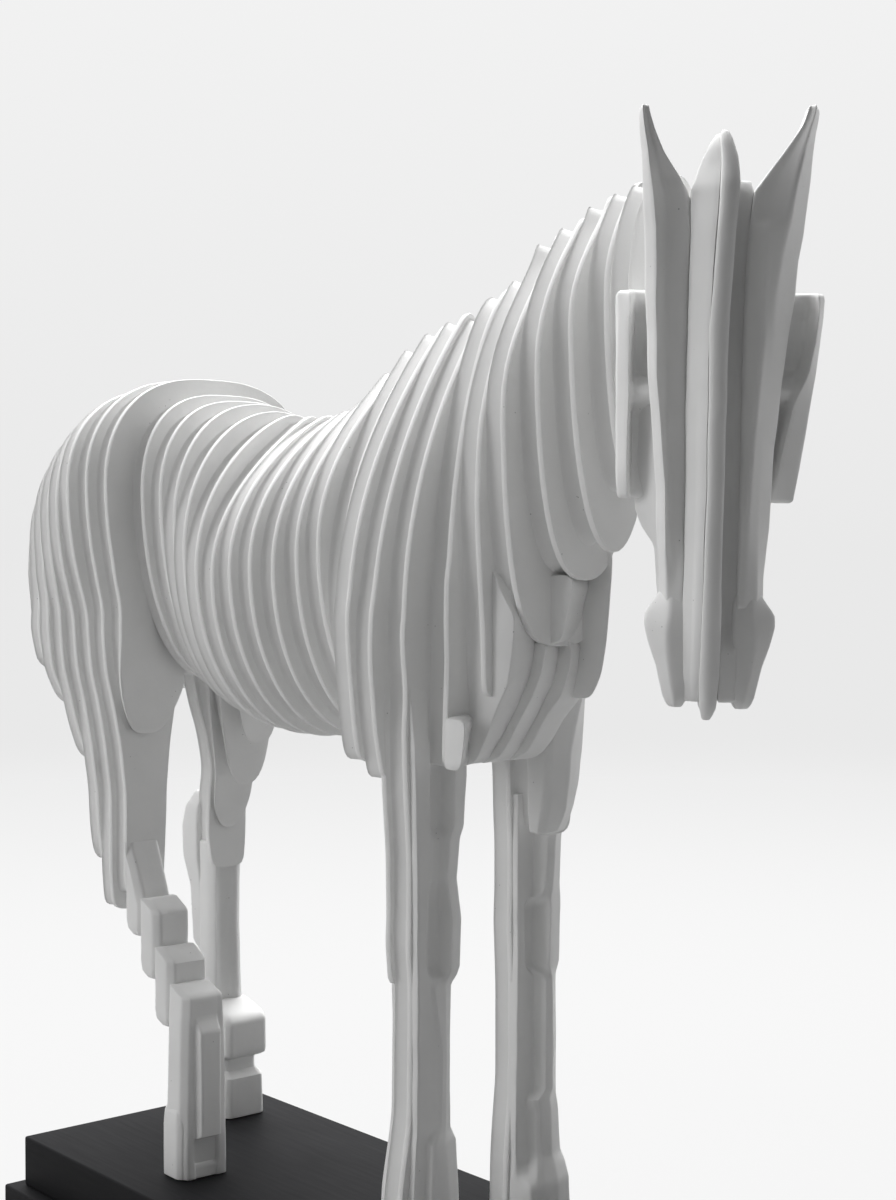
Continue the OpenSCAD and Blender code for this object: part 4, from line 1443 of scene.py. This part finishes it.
SHIN_LEFT = sections(
    (0.3, -2, 17.6, 38.8, (17.8, 0.6), (18.6, 7.6), (20.4, 9), (24, 9.4), (31, 9.4), (38.4, 7.6)),
    (21, -2, 17.8, 38.4, (18, 0.6), (19.4, 7), (21.4, 8.2), (25, 8.6), (31, 8.6), (38, 6.8)),
    (27, -2, 18.2, 38, (18.2, 0.5), (23, 1.2), (23.8, 5.2), (25.6, 6.2), (31, 6.6), (37.6, 4.6)),
    (30, -2, 18.4, 37.8, (18.4, 0.4), (24.4, 0.8), (25.4, 3.6), (26.8, 4.6), (31, 5.2),
     (37.4, 2.8)),
    (46, -2, 18.6, 37.2, (18.6, 0.3), (23.8, 0.7), (25, 3.4), (26.4, 4.4), (31, 4.8), (36.8, 2)),
    (49.5, -2, 18.6, 36.8, (18.6, 0.3), (22.6, 0.7), (23.6, 3.6), (24.8, 4.8), (30, 4.8),
     (36.4, 1.6)),
    (53, -2, 18.8, 36, (18.8, 0.2), (25.4, 0.4), (26.8, 0.5), (27.8, 5.6), (31, 5.8), (35.6, 1.6)),
    (92, -2, 19.4, 35.8, (19.4, 0.2), (25.6, 0.4), (27, 0.5), (28, 5.4), (31, 5.6), (35.4, 1.6)),
    (96, -2, 19.4, 36.4, (19.4, 0.2), (22.6, 0.4), (24, -1.8), (27.6, -1.4), (29, 5.8),
     (36.2, 2.4)),
    (116, -2, 19.4, 37, (19.4, 0.2), (22.4, 0.4), (24, -2.2), (27.8, -1.8), (29.2, 6.4),
     (36.8, 2.6)),
    (119.5, -2, 19.4, 37, (19.4, 0.2), (23.2, 0.4), (24.2, 0.8), (27, 3.6), (29.4, 6.2),
     (36.8, 2.4)),
    (123, -2, 19.4, 37, (19.4, 0.2), (25.4, 0.4), (26.2, 0.5), (27.6, 5.4), (31, 5.8), (36.6, 2.2)),
    (139, -2, 19.4, 37, (19.4, 0.2), (25.4, 0.4), (26.4, 0.5), (27.8, 6.4), (31, 6.8), (36.6, 3)),
    (144.5, -2, 19.4, 37, (19.4, 0.2), (25.4, 0.4), (26.4, 0.5), (27.8, 7.4), (31, 8), (36.6, 3.6)),
    (156, -2, 19.4, 37, (19.4, 0.2), (25.4, 0.4), (26.4, 0.5), (27.8, 8.2), (31, 9), (36.6, 4.4)),
)
# Tall block over the left knee
ARM_LEFT = sections(
    (143.4, -2, 18.6, 32.6, (18.8, 1.6), (20.8, 3.4), (26, 3.8), (32, 1)),
    (147, -2, 18.2, 34, (18.4, 3), (20.6, 5), (26.4, 5.8), (33.4, 2)),
    (152, -2, 17.8, 35.4, (18, 4.6), (20.4, 6.6), (26.6, 8), (34.8, 3)),
    (160, -2, 17.4, 36.8, (17.6, 6), (19.4, 7.8), (26, 9.8), (36.2, 4)),
    (172, -2, 17.2, 37.6, (17.4, 7), (18.8, 9.2), (25, 12), (37, 5)),
    (184, -2, 17.2, 37.6, (17.4, 7.6), (18.4, 11), (25, 15.4), (37, 6)),
    (190.6, -2, 17.2, 37.6, (17.4, 8), (18.4, 12), (25, 17.4), (37, 6.6)),
)


def stair(right: float, left: float, low: float, high: float, drop: float = 4.0,
          thick: float = 11.6, run: float = 8.4) -> tuple[Section, ...]:
    """Sections of a stepped leg board with a sloping top and a rounded heel.

    Args:
        right: Its right-hand side, in millimetres.
        left: Its left-hand side.
        low: Its lower end.
        high: Its upper end.
        drop: How far its top falls towards the front.
        thick: Its thickness.
        run: How far back the slope of its top goes.

    Returns:
        Its sections.
    """
    def row(height: float, back: float, front: float, tuck: float = 0.0) -> tuple:
        """One section, with a chamfered front edge."""
        return (
            height, back, right + tuck, left, (right + tuck, front - 3.0),
            (right + tuck + 2.2, front), (left - 0.8, front), (left, front - 0.9),
        )

    return sections(
        row(low, -thick + 4.5, -0.8, 0.8), row(low + 2.2, -thick + 1.2, -0.2),
        row(low + 5.5, -thick, 0.0), row(high - drop - 0.3, -thick, 0.0),
        row(high - drop * 0.5, -thick, -run * 0.5), row(high, -thick, -run),
    )


def hoof_row(height: float, panel: float, front: float = 0.0, tuck: float = 0.0) -> tuple:
    """Section of the right hind hoof: how far its panel and its front stand out."""
    return (
        height, -12.0, -36.4 + tuck, -16.6 - tuck, (-36.4 + tuck, front - 3.2),
        (-34.2 + tuck, front), (-31.2, front), (-30.4, front + panel), (-21.6, front + panel),
        (-20.8, front), (-17.2 - tuck, front + 0.3), (-16.6 - tuck, front - 2.0),
    )


HOOF_RIGHT = sections(
    hoof_row(0.3, -0.6), hoof_row(6.0, -0.8), hoof_row(7.2, -5.0), hoof_row(15.4, -5.0),
    hoof_row(16.0, 3.0), hoof_row(17.0, 3.6), hoof_row(40.0, 3.6, 0.0, 0.5),
    hoof_row(57.0, 3.6, 0.0, 0.9), hoof_row(61.5, 0.0, 0.0, 1.0), hoof_row(62.0, 0.0, 0.0, 1.2),
    hoof_row(69.8, 0.0, 0.0, 1.5), hoof_row(71.6, 0.0, -4.4, 1.6), hoof_row(73.6, 0.0, -8.4, 1.8),
)
HEEL_RIGHT = sections(
    (0.3, -14, -36.6, -15.8, (-37, -4), (-35.6, -1.6), (-18, -1.6), (-15.8, -3)),
    (20, -14.2, -36.6, -15.8, (-37, -4), (-35.6, -1.6), (-18, -1.6), (-15.8, -3)),
    (26, -13.6, -36.2, -16.2, (-36.6, -4.4), (-35.4, -2.2), (-18, -2.2), (-16.2, -3.6)),
    (29, -12, -34.8, -17.4, (-35.2, -5), (-34.4, -3.4), (-18, -3.4), (-17.4, -4.4)),
)


def pad_row(height: float, front: float, tuck: float = 0.0) -> tuple:
    """Section of the left hind hoof."""
    return (
        height, -20.0, 19.6 + tuck, 40.4 - tuck, (19.6 + tuck, front - 2.0),
        (21.6 + tuck, front), (38.4 - tuck, front), (40.4 - tuck, front - 2.4),
    )


HOOF_LEFT = sections(
    pad_row(0.3, 0.8, 0.6), pad_row(17.0, 0.8, 1.0), pad_row(19.4, -3.6, 1.8),
    pad_row(24.4, -3.6, 1.8), pad_row(26.0, 1.6, 0.2), pad_row(28.0, 2.2), pad_row(41.0, 2.2),
    pad_row(43.6, 0.2, 0.4), pad_row(46.4, -7.0, 1.2), pad_row(48.0, -10.0, 2.4),
)
CANNON_LEFT = sections(
    (40, -12, 20.8, 38.4, (20.6, -5), (22.4, -1), (25.6, -1.8), (30.6, -1.8), (34.6, 0.6),
     (38.2, -2.2)),
    (60, -12, 21.8, 37.4, (21.6, -5), (23.2, -0.6), (26, -2.6), (30.4, -2.4), (33.6, 0),
     (37.2, -3)),
    (85, -12, 21.8, 37.2, (21.6, -5), (23.2, -0.4), (26, -3), (30.4, -2.8), (33.2, -0.2),
     (37, -3.4)),
    (104, -12, 21.4, 37.6, (21.2, -5), (23, -0.2), (26, -2.8), (30.4, -2.6), (33.4, 0), (37.4, -3)),
    (116, -12, 21, 37.8, (20.8, -5), (22.8, -0.4), (26, -2), (30.4, -2), (33.6, -0.6),
     (37.6, -3.4)),
)
HOCK_LEFT = sections(
    (66, -2, 24, 36, (24, 1), (36, 1)),
    (72, -6.5, 22.2, 36.8, (22.2, 1), (36.8, 1)),
    (96, -8, 21.6, 37, (21.6, 1), (37, 1)),
    (108, -10.8, 19.8, 37.4, (19.8, 1), (37.4, 1)),
    (122, -11.3, 19.6, 37.6, (19.6, 1), (37.6, 1)),
    (130, -9.6, 20.4, 37.2, (20.4, 1), (37.2, 1)),
    (137, -5, 23, 35, (23, 1), (35, 1)),
)

# Side outlines of the chest boards at their right and left sides: (in front of plate 24,
# above the plinth), in millimetres, round from the rear low corner
RIB_1 = (
    ((12.6, 170), (19.5, 170), (21.2, 173), (22.3, 180), (22.4, 185.6), (21.8, 186.2),
     (17, 186.5), (12.8, 186.6), (12.6, 178)),
    ((2, 170), (6, 169.6), (9.5, 172), (10.5, 176), (12.8, 184), (13.2, 186),
     (11, 187), (4, 187), (2, 178)),
)
RIB_2 = (
    ((-3, 170), (6, 169.6), (13.1, 171), (15.8, 173.6), (20.1, 181), (24.5, 189), (29.9, 197.5),
     (31.5, 205), (32.9, 214), (33.2, 219), (30, 223), (26, 228), (22.6, 234), (8, 230), (-3, 190)),
    ((-3, 170), (4, 169.6), (8.9, 172), (11, 175), (15.3, 180), (21.5, 188.5), (27.3, 198),
     (29.6, 205), (30.5, 212.5), (29.6, 218), (27.5, 223), (24.5, 229), (22, 235), (8, 230),
     (-3, 190)),
)
RIB_3 = (
    ((-3, 170), (6, 169.8), (13.9, 172.6), (17.3, 176.8), (23.1, 184.7), (29.2, 193),
     (33.5, 201), (35.8, 209.6), (33, 210.6), (22, 210), (8, 200), (-3, 190)),
    ((-3, 170), (5, 169.8), (9.5, 173), (13.5, 178.4), (17.6, 183.6), (20.8, 187.8),
     (27.4, 198), (29.8, 209.7), (28, 210.6), (20, 210), (8, 200), (-3, 190)),
)
RIB_4 = (
    ((-3, 170), (6, 169.8), (14.5, 173.5), (18.5, 178.8), (23.5, 185.7), (30.2, 192.6),
     (34.5, 201.5), (35.8, 210), (33, 211), (22, 210), (8, 200), (-3, 190)),
    ((-3, 170), (5, 169.8), (10, 172.5), (14.5, 177), (20, 184), (28.5, 192.6),
     (29.5, 201), (30.5, 210), (28, 211), (20, 210), (8, 200), (-3, 190)),
)
KEEL = (
    ((26, 209.6), (34, 209.8), (39.2, 211.6), (41.7, 221), (44.4, 230), (42, 232), (34, 232),
     (26, 232)),
    ((20, 209.6), (27, 209.8), (31.5, 211.6), (34, 221), (37, 230), (34, 232), (27, 232),
     (20, 232)),
)
BREAST = (
    ((20, 192), (36.4, 192), (38.4, 193), (42.7, 200), (45, 211.3), (46.2, 222), (47.2, 232),
     (47.6, 239.4), (45, 242), (20, 242)),
    ((10, 192), (24.4, 192), (26.4, 193), (30.4, 200), (32.7, 211.3), (34, 222), (35, 232),
     (35.4, 239.4), (33, 242), (10, 242)),
)


@dataclass
class Chest:
    """Boards of the brisket: each front edge stands proud at its right-hand side."""

    finishes: Finishes
    base_h: float = BASE_H
    plate_24: float = 96.5
    pitch: float = PITCH
    wall: float = -31.3
    step: float = 1.4
    edge: float = 0.45
    overlap: float = 0.3
    wobble: float = 0.15
    wobble_scale: float = 110.0
    sharp_deg: float = 50.0
    keel_sides: tuple[float, float] = (-5.0, 9.3)
    breast_sides: tuple[float, float] = (9.0, 20.4)

    def add_board(self, bm: bmesh.types.BMesh, outlines: tuple, right: float, left: float) -> None:
        """Adds a board that stands along the horse.

        Args:
            bm: The mesh that gets it.
            outlines: Its outline at the right-hand and at the left-hand side.
            right: Its right-hand side, in millimetres.
            left: Its left-hand side, in millimetres.
        """
        count = max(24, round(path_length([Vector(p) for p in outlines[0]]) / self.step))
        near, far = (
            smooth_ring(resample([Vector(p) for p in line] + [Vector(line[0])], count)[:-1], 1)
            for line in outlines
        )
        middle = sum(near, Vector((0.0, 0.0))) / count
        wide, edge = left - right, self.edge
        rings = []
        for along, inset in (
            (0.0, edge), (0.4 * edge / wide, edge * 0.3), (1.2 * edge / wide, 0.0), (0.25, 0.0),
            (0.5, 0.0), (0.75, 0.0), (1 - edge / wide, 0.0), (1.0, edge),
        ):
            row = []
            for p, q in zip(near, far):
                r = p.lerp(q, along)
                r += (middle - r).normalized() * inset
                place = Vector((self.plate_24 + r.x, right + wide * along, self.base_h + r.y)) * MM
                waver = noise.noise_vector(place * self.wobble_scale) * self.wobble * MM
                row.append(place + waver)
            rings.append(row)
        loft(bm, rings)

    def build(self) -> list[bpy.types.Object]:
        """Models the brisket boards, the keel and the breast.

        Returns:
            The pieces.
        """
        ribs, keel, breast = bmesh.new(), bmesh.new(), bmesh.new()
        for k, outlines in enumerate((RIB_1, RIB_2, RIB_3, RIB_4)):
            right = self.wall + k * self.pitch
            self.add_board(ribs, outlines, right, right + self.pitch + self.overlap)
        self.add_board(keel, KEEL, *self.keel_sides)
        self.add_board(breast, BREAST, *self.breast_sides)
        return [
            cast_piece(bm, node, self.finishes, self.sharp_deg)
            for node, bm in (("brisket_ribs", ribs), ("chest_keel", keel), ("breast_keel", breast))
        ]


@dataclass
class Legs:
    """Lower legs: front boards of the forelegs and the stepped slabs of the hind legs."""

    finishes: Finishes
    base_h: float = BASE_H
    # How far the forelegs' strips stand out, in plates, and how much deeper their backs lie
    lift: float = 0.21
    sink: float = 2.6
    sharp_deg: float = 45.0
    lofter: Lofter = Lofter(spacing=1.0, smooth_passes=2)
    carved: Lofter = Lofter(step=1.3, spacing=0.8, smooth_passes=1, end_round=0.5, mix=0.5)
    crisp: Lofter = Lofter(step=1.2, spacing=0.7, smooth_passes=1, end_round=0.35, mix=0.3)

    def board(self, node: str, plate: float, *solids: tuple[Section, ...]) -> bpy.types.Object:
        """Models a front board of a leg.

        Args:
            node: The CAD node that it stands for.
            plate: The plate that it is fixed to.
            solids: Sections of its solids.

        Returns:
            The piece.
        """
        front = plate_x(plate)
        lofter = self.lofter
        if node.startswith("hind_right") or node == "hind_left_hoof":
            lofter = self.crisp
        elif node.startswith("foreleg"):
            lofter = self.carved
        bm = bmesh.new()
        for rows in solids:
            lofter.add(bm, rows, lambda left, ahead, up: Vector(
                (front + ahead, left, self.base_h + up)) * MM)
        return cast_piece(bm, node, self.finishes, self.sharp_deg)

    def build(self) -> list[bpy.types.Object]:
        """Models the boards of all four legs.

        Returns:
            The pieces.
        """
        # Both corners of each strip's back reach into the plate behind it
        backs = [(corner, 0, math.inf, self.sink, 0.0) for corner in (0, 7)]
        return [
            self.board("foreleg_right_strip", 24 + self.lift, hollow(
                SHIN_RIGHT, *backs, (2, 177, math.inf, 0.4, 0.0))),
            self.board("foreleg_left_strip", 23 + self.lift, hollow(
                SHIN_LEFT, *backs, (6, 50, math.inf, 0.0, 0.8))),
            self.board("foreleg_left_block", 24, ARM_LEFT),
            self.board("hind_right_hock", 9, stair(-34.0, -19.6, 88.0, 124.0, 24.0, 11.6, 11.0)),
            self.board("hind_right_slab_1", 10, stair(-34.3, -19.2, 73.0, 103.4)),
            self.board("hind_right_slab_2", 11, stair(-34.8, -18.4, 56.5, 86.0)),
            self.board("hind_right_hoof", 12, HOOF_RIGHT, HEEL_RIGHT),
            self.board("hind_left_cannon_rear", 5, HOCK_LEFT),
            self.board("hind_left_cannon_front", 6, CANNON_LEFT),
            self.board("hind_left_hoof", 7, HOOF_LEFT),
        ]


@dataclass
class Plinth:
    """Two painted tiers, the felt sheet and the screws."""

    finishes: Finishes
    edge: float = 0.9 * MM

    def build(self) -> list[bpy.types.Object]:
        """Models the tiers and finishes the felt and screws.

        Returns:
            The new pieces.
        """
        made = []
        for node in ("plinth_upper", "plinth_lower"):
            low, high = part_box(node)
            bm = bmesh.new()
            size = Matrix.Diagonal((*(high - low), 1.0))
            bmesh.ops.create_cube(bm, size=1.0, matrix=Matrix.Translation((low + high) / 2) @ size)
            round_edges(bm, self.edge)
            made.append(finish_piece(bm, f"{node}_painted", [node], self.finishes.paint))
        for node, material in (("felt", self.finishes.felt), ("screws", self.finishes.steel)):
            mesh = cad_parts[node].data
            mesh.materials.clear()
            mesh.materials.append(material)
        return made


# -------------------------------------------------------------------------- the studio


@dataclass
class Studio:
    """Pale floor with a painted glow, soft light and the camera."""

    camera_place: tuple[float, float, float] = (0.5722, -0.4185, 0.2735)
    heading_deg: float = 40.0
    pitch_deg: float = 1.5075
    lens: float = 57.0
    lamp_aim: tuple[float, float, float] = (0.0, 0.0, 0.22)
    horizon: float = 0.815
    zenith: float = 0.89
    # Strength of the floor's painted glow near the horse
    near_floor_glow: float = 1.0
    dark_side: tuple[float, float, float] = (0.92, -0.38, 0.0)
    wrap: float = 0.38
    wrap_least: float = 0.10
    wrap_end: float = 0.85
    rise_end: float = 0.30
    floor_size: float = 6.0
    floor_gap: float = 0.0002
    floor_grey: float = 0.30
    floor_rough: float = 0.9
    fade_from: float = 0.15
    fade_to: float = 2.2
    glow_share: float = 0.80
    glow_from: float = 0.3
    glow_to: float = 1.6

    def floor(self) -> None:
        """Makes the pale floor. Seen from the camera it glows with painted light, brightest near
        the horse and fading to the backdrop's tone further out; near the horse it keeps part of its
        lit shading, so the object's shadow stays on it.
        """
        bm = bmesh.new()
        bmesh.ops.create_grid(bm, x_segments=1, y_segments=1, size=self.floor_size)
        mesh = bpy.data.meshes.new("floor")
        bm.to_mesh(mesh)
        bm.free()
        floor = bpy.data.objects.new("floor", mesh)
        floor.location.z = -self.floor_gap
        bpy.context.scene.collection.objects.link(floor)
        mat, graph, where = new_material("pale_floor")
        lit = graph.surface({
            "Base Color": (*shaded(WHITE, self.floor_grey), 1.0), "Roughness": self.floor_rough,
        })
        reach = graph.add("VectorMath", "Value", {0: where}, operation="LENGTH")
        # Painted glow for camera rays: brighter near the horse, dimming to the horizon tone far off
        painted_floor_glow = graph.spread(
            reach, self.near_floor_glow, self.horizon, self.fade_from, self.fade_to, "SMOOTHSTEP")
        solid = graph.spread(reach, self.glow_share, 1.0, self.glow_from, self.glow_to)
        seen = graph.add("Math", 0, {
            0: graph.add("LightPath", "Is Camera Ray"), 1: solid,
        }, operation="MULTIPLY")
        mix = graph.add("MixShader", "Shader", {
            "Fac": seen, 1: lit, 2: graph.add("Emission", "Emission", {"Strength": painted_floor_glow}),
        })
        graph.put(mat.node_tree.nodes["Material Output"].inputs["Surface"], mix)
        mesh.materials.append(mat)

    def world(self) -> None:
        """Sets a pale backdrop, and a weak fill that is darker at the camera's side."""
        world = bpy.data.worlds.new("studio")
        bpy.context.scene.world = world
        world.use_nodes = True
        graph = Graph(world.node_tree)
        toward = graph.add("TexCoord", "Generated")
        front = graph.add(
            "VectorMath", "Value", {0: toward, 1: self.dark_side}, operation="DOT_PRODUCT")
        soft = graph.spread(
            front, self.wrap, self.wrap * self.wrap_least, 0.0, self.wrap_end, "SMOOTHSTEP")
        high = graph.add("SeparateXYZ", "Z", {"Vector": toward})
        rise = graph.spread(high, self.horizon, self.zenith, 0.0, self.rise_end)
        lit, seen = (
            graph.add("Background", "Background", {"Color": (*WHITE, 1.0), "Strength": strength})
            for strength in (soft, rise)
        )
        rays = graph.tree.nodes.new("ShaderNodeLightPath").outputs
        either = graph.add(
            "Math", 0, {0: rays["Is Camera Ray"], 1: rays["Is Glossy Ray"]}, operation="MAXIMUM")
        last = graph.add(
            "Math", 0, {0: either, 1: rays["Is Transmission Ray"]}, operation="MAXIMUM")
        mix = graph.add("MixShader", "Shader", {"Fac": last, 1: lit, 2: seen})
        graph.put(graph.tree.nodes["World Output"].inputs["Surface"], mix)

    def lamp(self, name: str, place: tuple[float, float, float], size: float,
             power: float) -> None:
        """Adds a soft square lamp that faces the horse.

        Args:
            name: Its name.
            place: Where it stands, in metres.
            size: Its side, in metres.
            power: Its power in watts.
        """
        light = bpy.data.lights.new(name, "AREA")
        light.shape = "SQUARE"
        light.size = size
        light.energy = power
        lamp = bpy.data.objects.new(name, light)
        lamp.location = place
        aim = Vector(self.lamp_aim) - Vector(place)
        lamp.rotation_euler = aim.to_track_quat("-Z", "Y").to_euler()
        bpy.context.scene.collection.objects.link(lamp)

    def camera(self) -> None:
        """Sets the camera at the photographed angle."""
        data = bpy.data.cameras.new("camera")
        data.lens = self.lens
        data.sensor_width = 36.0
        data.clip_start, data.clip_end = 0.01, 30.0
        cam = bpy.data.objects.new("camera", data)
        turn, dip = math.radians(self.heading_deg), math.radians(self.pitch_deg)
        level = Vector((-math.cos(turn), math.sin(turn), 0.0))
        ahead = level * math.cos(dip) - Vector((0.0, 0.0, math.sin(dip)))
        cam.location = self.camera_place
        cam.rotation_euler = ahead.to_track_quat("-Z", "Y").to_euler()
        bpy.context.scene.collection.objects.link(cam)
        bpy.context.scene.camera = cam

    def build(self) -> None:
        """Sets up the whole studio."""
        self.floor()
        self.world()
        # To the camera's left is -X -Y, and to its right +X +Y
        self.lamp("left_soft", (-0.75, -1.15, 0.75), size=0.9, power=7.0)
        self.lamp("right_soft", (-0.10, 1.30, 0.75), size=0.9, power=6.0)
        self.lamp("top_back", (-0.66, 0.38, 1.65), size=1.1, power=52.0)
        self.camera()
        bpy.context.scene.view_settings.view_transform = "Standard"


def main() -> None:
    """Builds the figurine, its plinth and the studio."""
    logging.basicConfig(level=logging.INFO, format="%(name)s %(message)s")
    noise.seed_set(NOISE_SEED)
    finishes = Finishes()
    made = RibbedBody(finishes).build()
    made += Legs(finishes).build()
    made += Chest(finishes).build()
    made += Head(finishes).build()
    made += Plinth(finishes).build()
    log.info("%d new pieces", len(made))
    Studio().build()


if __name__ == "__main__":
    main()
